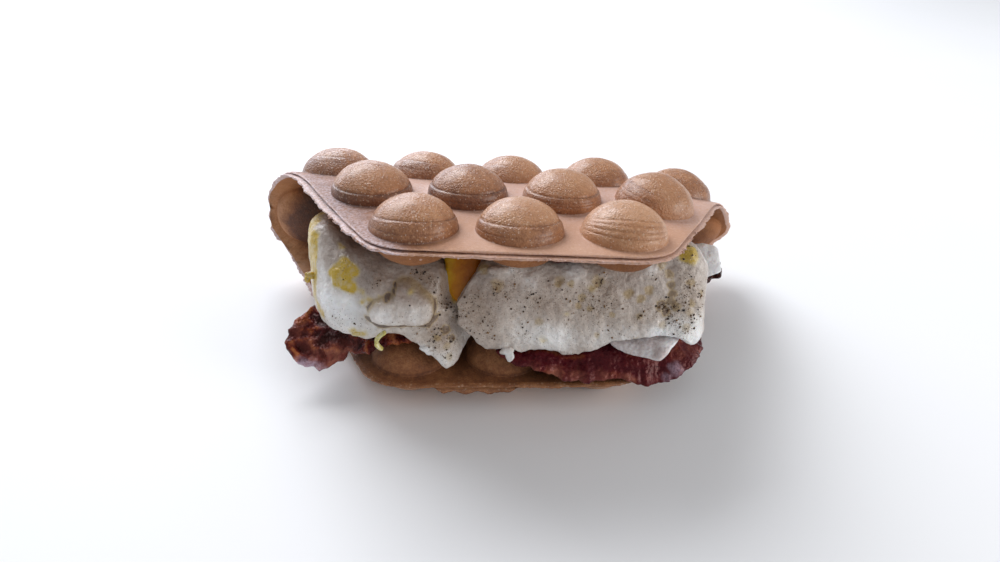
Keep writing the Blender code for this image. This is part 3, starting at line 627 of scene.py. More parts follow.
def finish_waffle(mesh, flat, points):
    """Marks where the waffle is browned and painted darker as shade, pink, where sheen and light shining
    through are painted, and where it is pebbled and glossy.
    """
    names = ("ring", "side", "band", "crease", "lip", "dark")
    ring, side, band, crease, lip, dark = (column(mesh, name) for name in names)
    row = flat[:, 1] / ROW_STEP
    half = (MIDDLE_COUNT - np.abs(row)) / 2 * PITCH
    left, right = (half + flat[:, 0]) / MM, (half - flat[:, 0]) / MM
    outside, edge, upper = side > 0, lip > 0, ease(row, -1.1, 0.8)
    dome, foot = fade(ring, 3.02, 0.3), bell(ring, 3.2, 0.2)
    web = (1 - dome) * outside
    left_web = web * fade(left, 6, 30) * ease(row, 0.4, 0.8)

    own, extra = own_browning(mesh)
    # Painted shade: the creases and the bubbles' feet are painted darker
    outer = dome * (own + band * extra) + crease * 0.16 + foot * 0.24 + (1 - dome) * 0.2
    # The inside is browner, with painted shade at its feet and deep in the fold ends, and a painted highlight
    # on the left fold's rim
    inner = 0.64 + 0.1 * foot - 0.04 * dome + 0.14 * bell(ring, 2.55, 0.2)
    inner += upper * (0.3 * fade(left, 18, 40) * fade(row, 1.6, 0.8) + 0.16 * fade(right, 0, 25))
    inner -= 0.55 * fade(left, 2, 9) * fade(np.abs(row + 0.2), 0.9, 0.5)
    # Painted shade: the lip is painted darker in its groove, and darker still along the lower flap's front
    # edge, under the upper flap
    on_lip = 0.16 + dark + 0.4 * (row < -2.5) + 0.04 * (np.abs(row) < 1.2)
    browned = np.where(outside, outer, inner) + swell(points, (9, 0.07, 5)) + 0.42 * left_web

    # The webs' own pink tint; the lower lip's rows (lip > 5) are painted paler pink, a painted highlight on
    # its lit flakes
    pink = np.where(lip > 5, 0.8, np.where(edge, 0.5 * (1 - dark), web * 0.85))
    pink *= np.where(edge, ease(row, -2, 0.6), ease(row, -0.2, 0.6))
    pink *= 1 - 0.85 * web * fade(left, 8, 24)

    # Painted sheen: a pale lavender shine painted near the left edge, on the lips and across the middle webs,
    # standing in for the window's reflection
    close = fade(left, 1, 8)
    near_edge = close * ease(row, 0.9, 0.8)
    lip_frost = (0.65 * close + 0.2) * ease(row, -2.2, 0.6)
    frosted = np.where(edge, np.maximum(near_edge, lip_frost) * (1 - dark), near_edge * web * 0.6)
    frosted = np.maximum(frosted, web * 0.3 * ease(row, 0.6, 0.5) * fade(row, 2.3, 0.6))

    # Painted light: light shining through the thin sheet, painted as an orange glow inside the front row's
    # bubbles and the fold ends
    glow = 0.32 * dome * ease(row, 2.4, 0.6)
    for away, low, high, reach in ((left, 0.1, 2.3, 14), (right, -0.9, 1.8, 18)):
        glow += 0.75 * fade(away, 0, reach) * ease(row, low, 0.5) * fade(row, high, 0.6) * (lip == 0)
    browned = np.where(edge, on_lip, browned)
    set_marks(mesh, FULL, browned=browned, pink=pink, frosted=frosted, glow=glow * (side < 0))

    rough_web = web * fade(left, 2, 16) * ease(row, 0.6, 0.6)
    pebbled = np.where(outside, dome * (1 - 0.6 * band), 0.25 * dome) + 0.2 + 0.6 * rough_web
    glossy = np.where(edge, 0.5, 0.4 + 0.6 * dome - 0.35 * left_web) * outside
    set_marks(mesh, FREE, pebbled=pebbled, glossy=glossy)


def make_waffle():
    """The folded waffle. Gives the places along the upper flap's lower lip, for the crumbs."""
    mesh = to_mesh(flat_waffle(), "bubble_waffle")
    flat = places_of(mesh)
    lift, seat_u, seat_v = column(mesh, "lift"), column(mesh, "seat_u"), column(mesh, "seat_v")
    points = on_sheet(flat[:, 0], flat[:, 1]) + out_of_sheet(flat[:, 0], flat[:, 1]) * flat[:, 2:3]
    points += out_of_sheet(seat_u, seat_v) * lift[:, None]
    set_places(mesh, points)
    points = pushed(mesh, points, swell(points, (8, 0.25, 2), (3.2, 0.08, 4)))
    points[:, 2] = np.where(points[:, 2] < SETTLE, np.maximum(0, points[:, 2] * 0.02), points[:, 2])
    finish_waffle(mesh, flat, points)
    points += np.array(SEAT)
    set_places(mesh, points)
    lip_places = points[(column(mesh, "lip") == LOWER_LIP) & (flat[:, 1] > 2.6 * ROW_STEP)]
    for name in ("ring", "lift", "seat_u", "seat_v", "side", "band", "crease", "outward", "lip", "dark"):
        mesh.attributes.remove(mesh.attributes[name])
    dress("bubble_waffle", mesh, "waffle", ("waffle",))
    return lip_places


# Pieces on the CAD nodes

def dress(name, mesh, finish, nodes):
    """Makes a piece of a mesh, in its finish, standing for its CAD nodes."""
    mesh.shade_smooth()
    mesh.materials.clear()
    mesh.materials.append(FINISHES[finish])
    piece = bpy.data.objects.new(name, mesh)
    link(piece)
    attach(piece, "root")
    if nodes:
        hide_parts(*nodes)
    return piece


def fine_copy(node, levels=3, round_above=None):
    """A merged copy of a CAD node's mesh, in quads and rounded by subdivision, more so above a height."""
    bm = bmesh.new()
    bm.from_mesh(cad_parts[node].data)
    bmesh.ops.remove_doubles(bm, verts=bm.verts, dist=MERGE)
    limits = {"angle_face_threshold": math.radians(60), "angle_shape_threshold": math.radians(60)}
    bmesh.ops.join_triangles(bm, faces=bm.faces, **limits)
    for _ in range(4 if round_above else 0):
        crest = [vert for vert in bm.verts if vert.co.z > round_above]
        bmesh.ops.smooth_vert(bm, verts=crest, factor=0.5, use_axis_x=True, use_axis_y=True, use_axis_z=True)
    mesh = to_mesh(bm, node + "_fine")
    mesh.materials.clear()
    holder = bpy.data.objects.new(node + "_holder", mesh)
    link(holder)
    rounding = holder.modifiers.new("Rounding", "SUBSURF")
    rounding.levels = rounding.render_levels = levels
    graph = bpy.context.evaluated_depsgraph_get()
    fine = bpy.data.meshes.new_from_object(holder.evaluated_get(graph))
    bpy.data.objects.remove(holder)
    for layer in [layer for layer in fine.attributes if layer.name.startswith(("UV", "custom"))]:
        fine.attributes.remove(layer)
    return fine


def distances(points, marks):
    """Each mark's strength, and how far the points are from it in its own radii."""
    for x, y, z, radius, strength in marks:
        yield strength, np.linalg.norm(points - np.array((x, y, z)) * MM, axis=1) / (radius * MM)


def marked(points, marks, soft=0.6):
    """How strongly each point is marked by a table of places, with ragged soft edges."""
    torn = swell(points, (1.6, 0.45, 6))
    shares = [strength * fade(away + torn, 1 - soft / 2, soft) for strength, away in distances(points, marks)]
    return np.max(shares, axis=0)


def spread(points, marks):
    """The sum of soft bumps at a table of places."""
    return sum(strength * np.exp(-(away**2) * 1.4) for strength, away in distances(points, marks))


def stained(points):
    """How strongly each point is stained with yolk: the marks run together, with ragged soft edges."""
    wider = [(x, y, z, radius * 1.5, strength) for x, y, z, radius, strength in YELLOW]
    return ease(spread(points, wider) + swell(points, (2.2, 0.2, 6), (0.9, 0.08, 7)), 0.22, 0.55)


def tongue_inside(points):
    """How far each point is inside the folded-over corner's outline, seen from the front, in mm."""
    outline = np.array(TONGUE)
    place = points[:, [0, 2]] / MM
    nearest = np.full(len(points), 1e9)
    crossings = np.zeros(len(points), int)
    for start, end in zip(outline, np.roll(outline, -1, axis=0)):
        run = end - start
        share = np.clip(((place - start) @ run) / (run @ run), 0, 1)
        nearest = np.minimum(nearest, np.linalg.norm(place - start - share[:, None] * run, axis=1))
        spans = (start[1] > place[:, 1]) != (end[1] > place[:, 1])
        cross = start[0] + (place[:, 1] - start[1]) * run[0] / (run[1] if run[1] else 1e-9)
        crossings += spans & (place[:, 0] < cross)
    return np.where(crossings % 2 == 1, nearest, -nearest)


def fold_tongue(points):
    """Raises the folded-over corner, steep below and softer above, and gives its seam, a dark line of painted
    shadow along its edge and below it, and its face.
    """
    z, front = points[:, 2] / MM, points[:, 1] < -30 * MM
    inside = tongue_inside(points) + swell(points, (3.5, 0.35, 12))
    share = np.clip(inside / np.interp(z, (37.5, 41, 47), (0.5, 0.8, 1.3)), 0, 1)
    face = np.sqrt(1 - (1 - share) ** 2) * front
    # Painted shadow: a dark line along the corner's edge and just below it
    seam = bell(inside, -0.2, 0.6) * np.interp(z, (39, 44, 48), (1, 0.5, 0.3))
    under = ease(inside, -3, 0.7) * fade(inside, -0.2, 0.6) * fade(z, 37, 1.5)
    moved = points.copy()
    moved[:, 1] -= face * TONGUE_RISE
    return moved, np.maximum(seam, under) * front, face


def add_beads(mesh, beads):
    """Joins loose beads of egg to a mesh."""
    bm = bmesh.new()
    bm.from_mesh(mesh)
    yolky = bm.verts.layers.float.new("yolky")
    draw = random.Random(4)
    for x, y, z, wide, deep, high, yellow in beads:
        turn = Euler([draw.uniform(-0.5, 0.5) for _ in range(3)]).to_matrix().to_4x4()
        size = Matrix.Diagonal((wide * MM, deep * MM, high * MM, 1))
        place = Matrix.Translation(Vector((x, y, z)) * MM) @ turn @ size
        for vert in bmesh.ops.create_icosphere(bm, subdivisions=4, radius=1, matrix=place)["verts"]:
            vert[yolky] = yellow
    bm.to_mesh(mesh)
    bm.free()


def reshape_left_egg(points):
    """Lifts the top left corner and sets the edge beside the yolk back."""
    x, y, z = points.T / MM
    points[:, 2] += CORNER_LIFT * fade(x, -66, 12) * ease(z, 40, 8) * ease(y, -32, 14) * fade(y, 8, 10)
    points[:, 1] += EDGE_BACK * ease(x, -25, 3) * ease(z, 37, 5) * fade(y, -30, 5)


def make_egg(name, node, seed):
    at_left = node == "egg_left"
    mesh = fine_copy(node, round_above=50 * MM if at_left else None)
    add_beads(mesh, BEADS[node])
    points = places_of(mesh)
    seen = points.copy()
    # Paleness carries painted light and shade: paler where lit, greyer in shade, and the left egg's top,
    # facing up under the flap, painted darker as shade
    pale = (0.54 if at_left else 0.42) + spread(seen, PALE) - spread(seen, GREY)
    if at_left:
        facing_up = ease(values_of(mesh.vertices, "normal", 3)[:, 2], 0.35, 0.4)
        pale -= 0.22 * facing_up
        reshape_left_egg(points)
    low = fade(points[:, 2], 27 * MM, 6 * MM) * (points[:, 1] < -38 * MM)
    relief = swell(points, (8, 0.5, seed), (3, 0.34, seed + 1), (1.2, 0.12, seed + 2))
    points = pushed(mesh, points, relief + spread(points, LUMPS))
    points[:, 2] += low * swell(points, (2.2, 0.7, seed + 3), (0.8, 0.2, seed + 4)) * MM
    seam = 0
    if at_left:
        points, seam, face = fold_tongue(points)
        pale += 0.06 * face
    dusty = [(x, y, z, radius * 1.5, min(1, count / radius / 4)) for x, y, z, radius, count in PEPPER]
    yellow = stained(seen) + 0.6 * column(mesh, "yolky")
    # Fried brown spots, and the painted shadow line of the folded corner
    browned = 1.8 * marked(seen, BROWN, 0.7) + 1.6 * seam
    set_marks(mesh, FULL, pale=pale, yellow=yellow, browned=browned, dusted=spread(seen, dusty))
    set_places(mesh, points)
    return dress(name, mesh, "egg_white", (node,))


def make_thin_white():
    mesh = fine_copy("egg_lower")
    points = places_of(mesh)
    x, _, z = points.T / MM
    points[:, 2] -= LOBE_DROP * ease(x, 68, 7) * ease(z, 27, 7)
    set_places(mesh, pushed(mesh, points, swell(points, (5, 0.4, 9), (1.8, 0.15, 10))))
    # The far lobe is painted paler: painted light
    set_marks(mesh, (0, 1.3), pale=0.54 + 0.9 * ease(x, 66, 8) + 0.2 * ease(x, 52, 6))
    dress("egg_thin_white", mesh, "thin_white", ("egg_lower",))


def make_yolk():
    mesh = fine_copy("yolk")
    points = places_of(mesh)
    x, y, z = points.T / MM
    tip = fade(z, 44, 6) * fade(x, -18, 6) * (y < -20)
    points += tip[:, None] * np.array(YOLK_TIP) * MM
    set_places(mesh, pushed(mesh, points, 0.9 + swell(points, (3.5, 0.15, 2))))
    # Deeper orange towards the right: partly the yolk's own orange, partly painted shade
    set_marks(mesh, FULL, deep=ease(points[:, 0] / MM, -23, 9))
    dress("egg_yolk", mesh, "yolk", ("yolk",))


def make_curl():
    mesh = fine_copy("yolk_shred")
    points = places_of(mesh)
    set_places(mesh, pushed(mesh, points, 0.1 + swell(points, (3.5, 0.15, 3))))
    dress("yolk_curl", mesh, "yolk_curl", ("yolk_shred",))


def route_places(points, route):
    """Along and across a route, in mm, for each point, and the direction across."""
    rows = np.array(route, float) + np.array(SEAT.xy) / MM
    run = np.concatenate([[0], np.cumsum(np.linalg.norm(np.diff(rows, axis=0), axis=1))])
    at = np.linspace(0, run[-1], 160)
    line = np.stack([np.interp(at, run, rows[:, 0]), np.interp(at, run, rows[:, 1])], axis=1)
    ahead = np.gradient(line, axis=0)
    ahead /= np.linalg.norm(ahead, axis=1, keepdims=True)
    place = points[:, :2] / MM
    nearest = np.argmin(np.linalg.norm(place[:, None, :] - line[None, :, :], axis=2), axis=1)
    gap = place - line[nearest]
    along = at[nearest] + np.sum(gap * ahead[nearest], axis=1)
    side = np.stack([ahead[nearest, 1], -ahead[nearest, 0], np.zeros(len(points))], axis=1)
    return along, np.sum(gap * side[:, :2], axis=1), side


def make_rasher(name, node, route, seed, levels=3):
    """A rasher with lean and fat streaks along it and crinkles across, crisper at the left."""
    at_left = node == "bacon_left"
    crisp, wave = (1, 0.5) if at_left else (0.2, 0.18)
    mesh = fine_copy(node, levels)
    points = places_of(mesh)
    if at_left:
        x, y, _ = points.T / MM
        points[:, 1] += NOTCH_DEEP * bell(x, NOTCH_X, NOTCH_WIDE) * fade(y, -42, 7)
    along, across, side = route_places(points, route)
    z = points[:, 2] / MM

    def waves(length, width, high, *layers):
        """Noise that follows the rasher, stretched along it, across it and up."""
        return swell(np.stack([along / length, across / width, z / high], axis=1) * MM, *layers)

    ridged = 1 - 2.6 * np.abs(swell(points, (5.5, 1, seed + 2))) + swell(points, (1.8, 0.35, seed + 4))
    crinkle = waves(2.4, 7, 7, (1, wave, seed)) + swell(points, (1.5, 0.2, seed + 1)) + ridged * crisp
    torn = np.stack([along / 3.4, np.sign(across), np.zeros(len(points))], axis=1) * MM
    out = swell(torn, (1, 1.7, seed + 7)) + swell(torn * (2.6, 1, 1), (1, 0.6, seed + 8))
    points = pushed(mesh, points, crinkle) + side * (out * np.clip(across / 9, -1, 1) * MM)[:, None]
    set_places(mesh, points)
    fatty = marked(points, FAT, 1.4) * (0.75 + waves(16, 2.6, 9, (1, 0.5, seed + 5)))
    at_right = node == "bacon_right"
    set_marks(mesh, FULL, fatty=fatty, silvery=marked(points, SILVER, 1), purple=0.55 * at_right)
    # Painted shade: the left rasher is painted darker towards its back, where it runs under the egg
    x, y, _ = points.T / MM
    shaded = ease(y, -38, 6) * ease(x, -73, 6) * at_left
    streaked = 0.4 + waves(16, 2.6, 9, (1, 0.6, seed + 3)) + (ridged - 0.4) * 0.6 * crisp - shaded * 0.62
    set_marks(mesh, FREE, streaked=streaked)
    dress(name, mesh, "soft_bacon" if at_right else "bacon", (node,))


def grain(draw, spot, size, least, most):
    """A grain's place, its turn and its three half sizes."""
    turn = [draw.uniform(0, 6.3) for _ in range(3)]
    return spot, turn, [size * draw.uniform(least, most) for _ in range(3)]


def joined_grains(name, finish, grains, detail):
    """Many small rough grains in one piece."""
    bm = bmesh.new()
    for place, turn, size in grains:
        matrix = Matrix.Translation(place) @ Euler(turn).to_matrix().to_4x4() @ Matrix.Diagonal((*size, 1))
        bmesh.ops.create_icosphere(bm, subdivisions=detail, radius=1, matrix=matrix)
    return dress(name, to_mesh(bm, name), finish, ())


def surface_of(piece):
    corners = [vert.co for vert in piece.data.vertices]
    return BVHTree.FromPolygons(corners, [face.vertices for face in piece.data.polygons])


def make_pepper(eggs):
    """Ground pepper lying on the eggs, in the clusters where it shows."""
    surfaces = [surface_of(egg) for egg in eggs]
    draw = random.Random(17)
    grains = []
    for x, y, z, radius, count in PEPPER:
        for _ in range(round(count * PEPPER_SHARE)):
            away = Vector([draw.gauss(0, 0.5) for _ in range(3)]) * radius
            spot = (Vector((x, y, z)) + away) * MM
            hits = [surface.find_nearest(spot) for surface in surfaces]
            place, normal, _, gap = min(hits, key=lambda hit: hit[3])
            size = draw.choice(PEPPER_SIZES) * MM
            if gap < 2.5 * MM and normal.y < 0.3:
                grains.append(grain(draw, place + normal * size * 0.25, size, 0.7, 1.4))
    joined_grains("ground_pepper", "pepper", grains, 1)


def make_crumbs(lip_places):
    """Golden crumbs on the upper flap's lip, the most where it is broken."""
    draw = random.Random(9)
    crumbs = []
    for _ in range(LIP_CRUMBS):
        size = draw.uniform(0.12, 0.36) * MM
        spot = Vector(lip_places[draw.randrange(len(lip_places))])
        spot += Vector([draw.gauss(0, 0.22) * MM for _ in range(3)])
        crumbs.append(grain(draw, spot, size, 0.6, 1.5))
    for x, y, z, width, count in CRUMB_CLUSTERS:
        for _ in range(count):
            size = draw.uniform(0.25, 0.6) * MM
            away = (draw.uniform(-width, width), draw.uniform(-0.4, 0.2), draw.uniform(-0.4, 0.2))
            crumbs.append(grain(draw, (Vector((x, y, z)) + Vector(away)) * MM, size, 0.7, 1.4))
    made = joined_grains("waffle_crumbs", "waffle", crumbs, 2)
    # The crumbs carry some painted sheen too, as the lip does
    set_marks(made.data, FULL, browned=0.3, glossy=0.5, frosted=0.5)


# Finishes

class Brush:
    """Adds nodes to one node tree, at the place on the piece."""

    def __init__(self, tree, place=None):
        self.tree, self.place = tree, place

    def put(self, kind, settings=None, sockets=None):
        """A node with its settings, and values or links on its inputs by name or number."""
        node = self.tree.nodes.new(kind)
        for key, value in (settings or {}).items():
            setattr(node, key, value)
        for key, value in (sockets or {}).items():
            self.plug(value, node.inputs[key])
        return node

    def plug(self, value, socket):
        """Links a socket, or sets a value or a colour."""
        if isinstance(value, bpy.types.NodeSocket):
            self.tree.links.new(value, socket)
        else:
            socket.default_value = (*value, 1) if socket.type == "RGBA" else value

    def work_out(self, operation, *values, clamp=False):
        settings = {"operation": operation, "use_clamp": clamp}
        return self.put("ShaderNodeMath", settings, dict(enumerate(values))).outputs[0]

    def times(self, first, second, clamp=False):
        return self.work_out("MULTIPLY", first, second, clamp=clamp)

    def from_to(self, value, low, high, start=0, end=1):
        """A value's range from low to high, turned into start to end."""
        sockets = {"Value": value, "From Min": low, "From Max": high, "To Min": start, "To Max": end}
        return self.put("ShaderNodeMapRange", None, sockets).outputs[0]

    def blend(self, share, first, second):
        return self.put("ShaderNodeMix", {"data_type": "RGBA"}, {0: share, 6: first, 7: second}).outputs[2]

    def ramp(self, value, *stops):
        """Colours along a value: each stop is its place and its colour."""
        node = self.put("ShaderNodeValToRGB", None, {"Fac": value})
        scale = node.color_ramp.elements
        scale.remove(scale[1])
        for index, (place, colour) in enumerate(stops):
            stop = scale.new(place) if index else scale[0]
            stop.position, stop.color = place, (*colour, 1)
        return node.outputs[0]

    def mark(self, name):
        return self.put("ShaderNodeAttribute", {"attribute_name": name}).outputs["Fac"]

    def noise(self, scale, detail, **more):
        sockets = {"Vector": self.place, "Scale": scale, "Detail": detail, **more}
        return self.put("ShaderNodeTexNoise", None, sockets).outputs

    def cells(self, scale):
        return self.put("ShaderNodeTexVoronoi", None, {"Vector": self.place, "Scale": scale}).outputs

    def red(self, colour):
        return self.put("ShaderNodeSeparateColor", None, {0: colour}).outputs[0]

    def effect(self, name, **values):
        """One of the shared effects, with its values."""
        sockets = {"Place": self.place, **{key.capitalize(): value for key, value in values.items()}}
        return self.put("ShaderNodeGroup", {"node_tree": EFFECTS[name]}, sockets).outputs[0]

    def stirred(self, base, *layers):
        """A base value stirred by mottling: each layer is its size in mm and its strength."""
        for size, strength in layers:
            clouds = self.work_out("SUBTRACT", self.effect("mottling", size=size), 0.5)
            base = self.work_out("MULTIPLY_ADD", clouds, strength, base)
        return base


def new_effect(name, inputs, output, fill):
    """A shader node group with named sockets: fill makes its output with a brush, a scale and its inputs."""
    tree = bpy.data.node_groups.new(name, "ShaderNodeTree")
    new_socket, number = tree.interface.new_socket, "NodeSocketFloat"
    new_socket(name="Place", in_out="INPUT", socket_type="NodeSocketVector")
    for label, value in inputs:
        new_socket(name=label, in_out="INPUT", socket_type=number).default_value = value
    new_socket(name=output, in_out="OUTPUT", socket_type=number)
    enter, leave = tree.nodes.new("NodeGroupInput"), tree.nodes.new("NodeGroupOutput")
    brush = Brush(tree, enter.outputs["Place"])
    scale = brush.work_out("DIVIDE", 1 / MM, enter.outputs["Size"])
    tree.links.new(fill(brush, scale, enter.outputs), leave.inputs[output])
    return tree


def fill_mottling(brush, scale, _):
    return brush.from_to(brush.noise(scale, 3, Roughness=0.6)["Fac"], 0.3, 0.7)


def fill_pebbles(brush, scale, _):
    round_tops = brush.from_to(brush.cells(scale)["Distance"], 0.6, 0.1)
    grit = brush.noise(brush.times(scale, 2.1), 2)["Fac"]
    return brush.work_out("ADD", brush.times(round_tops, 0.6), brush.times(grit, 0.5))


def fill_cracks(brush, scale, _):
    bend = brush.noise(900, 2)["Color"]
    sockets = {0: bend, 1: (1.2 * MM,) * 3, 2: brush.place}
    shift = brush.put("ShaderNodeVectorMath", {"operation": "MULTIPLY_ADD"}, sockets).outputs[0]
    edges = {"feature": "DISTANCE_TO_EDGE"}
    cells = brush.put("ShaderNodeTexVoronoi", edges, {"Vector": shift, "Scale": scale})
    return brush.from_to(cells.outputs["Distance"], 0.07, 0)


def fill_specks(brush, scale, given):
    cells = brush.cells(scale)
    near = brush.from_to(cells["Distance"], 0.42, 0.25)
    return brush.times(near, brush.work_out("LESS_THAN", brush.red(cells["Color"]), given["Share"]))


EFFECTS = {
    "mottling": new_effect("Mottling", (("Size", 6),), "Value", fill_mottling),
    "pebbles": new_effect("Pebbles", (("Size", 0.8),), "Height", fill_pebbles),
    "cracks": new_effect("Fine cracks", (("Size", 2.4),), "Mask", fill_cracks),
    "specks": new_effect("Specks", (("Size", 1), ("Share", 0.2)), "Mask", fill_specks),
}


def new_finish(name, paint, **settings):
    """A material painted with a brush: paint gives its colour, roughness, height and fixed sockets."""
    made = bpy.data.materials.new(name)
    made.use_nodes = True
    brush = Brush(made.node_tree)
    brush.place = brush.put("ShaderNodeTexCoord").outputs["Object"]
    colour, roughness, height, fixed = paint(brush, **settings)
    relief = {"Height": height, "Distance": fixed.pop("Relief") * MM}
    fixed["Normal"] = brush.put("ShaderNodeBump", None, relief).outputs[0]
    shader = made.node_tree.nodes["Principled BSDF"]
    for label, value in {"Base Color": colour, "Roughness": roughness, **fixed}.items():
        brush.plug(value, shader.inputs[label])
    return made


def paint_waffle(brush):
    fine = brush.effect("mottling", size=0.9)
    glossy, pebbled = brush.mark("glossy"), brush.mark("pebbled")
    cracks = brush.times(brush.effect("cracks", size=2.2), pebbled)
    pale = brush.times(brush.effect("specks", size=1.3, share=0.16), brush.from_to(glossy, 0, 0.4, 0.06, 0.3))
    glints = brush.times(brush.effect("specks", size=0.6, share=0.16), glossy)
    pink = brush.times(brush.mark("pink"), brush.from_to(fine, 0, 1, 0.55, 0.95))
    frost = brush.times(brush.mark("frosted"), brush.from_to(fine, 0.2, 0.8, 0.25, 1))

    # The browning ramp also carries the painted shade of creases, feet, lips and fold ends
    browned = brush.stirred(brush.mark("browned"), (8, 0.14), (2.6, 0.16), (0.7, 0.16))
    crust = (
        (0, (0.62, 0.34, 0.19)), (0.22, (0.54, 0.265, 0.125)), (0.42, (0.42, 0.178, 0.068)),
        (0.6, (0.26, 0.095, 0.031)), (0.8, (0.13, 0.04, 0.013)), (1, (0.05, 0.015, 0.006)),
    )
    colour = brush.ramp(browned, *crust)
    # Painted light among these tints: the sheen, the orange glow of light through the sheet and the pale
    # glints
    for share, tint in (
        (pink, (0.58, 0.34, 0.245)), (pale, (0.72, 0.5, 0.34)), (frost, (0.74, 0.63, 0.68)),
        (brush.times(brush.mark("glow"), 0.85), (0.42, 0.15, 0.03)),
        (brush.times(cracks, 0.16), (0.2, 0.08, 0.03)), (brush.times(glints, 0.48), (0.85, 0.7, 0.6)),
    ):
        colour = brush.blend(share, colour, tint)

    pebbles = brush.times(brush.effect("pebbles", size=0.85), pebbled)
    height = brush.work_out("SUBTRACT", pebbles, brush.times(cracks, 0.15))
    height = brush.stirred(height, (2.2, 0.35), (0.4, 0.35))
    shiny = brush.work_out("SUBTRACT", brush.from_to(fine, 0, 1, 0.32, 0.46), brush.times(glints, 0.1))
    return colour, brush.from_to(glossy, 0, 1, 0.68, shiny), height, {
        "Relief": 0.32, "Specular IOR Level": 0.6, "Specular Tint": (1, 0.9, 0.86),
        "Coat Weight": brush.times(glossy, 0.38), "Coat Roughness": 0.25,
    }


def soft_inside(weight):
    """The sockets of light that goes a little way into egg white."""
    return {"Subsurface Weight": weight, "Subsurface Radius": (0.002, 0.0014, 0.001), "Subsurface Scale": 1}


def paint_egg(brush):
    # Paleness carries painted light and shade: the ramp runs from painted shade to lit white
    pale = brush.stirred(brush.mark("pale"), (5, 0.08), (1.5, 0.17), (0.5, 0.08))
    white = (
        (0, (0.25, 0.195, 0.16)), (0.3, (0.42, 0.345, 0.295)), (0.5, (0.58, 0.51, 0.455)),
        (0.75, (0.79, 0.76, 0.73)), (1, (0.93, 0.93, 0.925)),
    )
    colour = brush.ramp(pale, *white)
    yellow = brush.times(brush.mark("yellow"), brush.stirred(0.95, (2.4, 0.5), (0.9, 0.25)), clamp=True)
    yolky = brush.ramp(yellow, (0, (0.66, 0.57, 0.25)), (1, (0.56, 0.37, 0.008)))
    colour = brush.blend(brush.times(yellow, 0.95, clamp=True), colour, yolky)
    # Fried brown spots, and at the darkest end the painted shadow under the folded corner
    browned = brush.mark("browned")
    fried = brush.ramp(browned, (0.7, (0.4, 0.26, 0.055)), (0.98, (0.1, 0.05, 0.02)))
    colour = brush.blend(brush.times(browned, 0.8), colour, fried)
    dusted = brush.mark("dusted")
    colour = brush.blend(brush.times(dusted, 0.22), colour, (0.3, 0.18, 0.07))
    large = brush.effect("specks", size=0.85, share=brush.times(dusted, 0.14))
    small = brush.effect("specks", size=0.42, share=brush.work_out("MULTIPLY_ADD", dusted, 0.42, 0.01))
    dust = brush.times(brush.work_out("MAXIMUM", large, small), 0.7)
    colour = brush.blend(dust, colour, (0.11, 0.062, 0.03))
    height = brush.stirred(brush.effect("pebbles", size=2.6), (1.1, 0.5), (0.35, 0.14))
    fixed = {"Relief": 0.36, **soft_inside(0.12), "Coat Weight": 0.3, "Coat Roughness": 0.18}
    return colour, brush.from_to(pale, 0, 1, 0.26, 0.4), height, fixed


def paint_thin_white(brush):
    pale = brush.stirred(brush.mark("pale"), (4, 0.5), (1.2, 0.2))
    colour = brush.ramp(pale, (0, (0.36, 0.27, 0.25)), (0.5, (0.66, 0.59, 0.58)), (0.9, (0.95, 0.95, 0.96)))
    height = brush.stirred(brush.effect("pebbles", size=1.8), (0.7, 0.4))
    fixed = {"Relief": 0.25, **soft_inside(0.2), "Coat Weight": 0.4, "Coat Roughness": 0.15}
    return colour, brush.from_to(pale, 0, 1, 0.2, 0.36), height, fixed


def paint_yolk(brush):
    # Yellow to deep orange, its darkest end painted shade
    deep = brush.stirred(brush.mark("deep"), (3, 0.3), (1, 0.12))
    colour = brush.ramp(deep, (0, (0.66, 0.4, 0.015)), (0.45, (0.56, 0.21, 0.006)), (1, (0.36, 0.105, 0.004)))
    height = brush.stirred(brush.effect("pebbles", size=1.6), (0.6, 0.3))
    fixed = {"Relief": 0.12, "Specular IOR Level": 0.3, "Coat Weight": 0.08, "Coat Roughness": 0.12}
    return colour, brush.from_to(deep, 0, 1, 0.28, 0.4), height, fixed


def paint_curl(brush):
    veins = brush.stirred(brush.effect("mottling", size=1.6), (0.6, 0.4))
    colour = brush.ramp(veins, (0, (0.42, 0.34, 0.05)), (0.55, (0.6, 0.53, 0.16)), (1, (0.76, 0.72, 0.5)))
    height = brush.stirred(brush.effect("pebbles", size=1.1), (0.5, 0.3))
    fixed = {"Relief": 0.15, "Coat Weight": 0.3, "Coat Roughness": 0.15}
    return colour, brush.from_to(veins, 0, 1, 0.25, 0.4), height, fixed


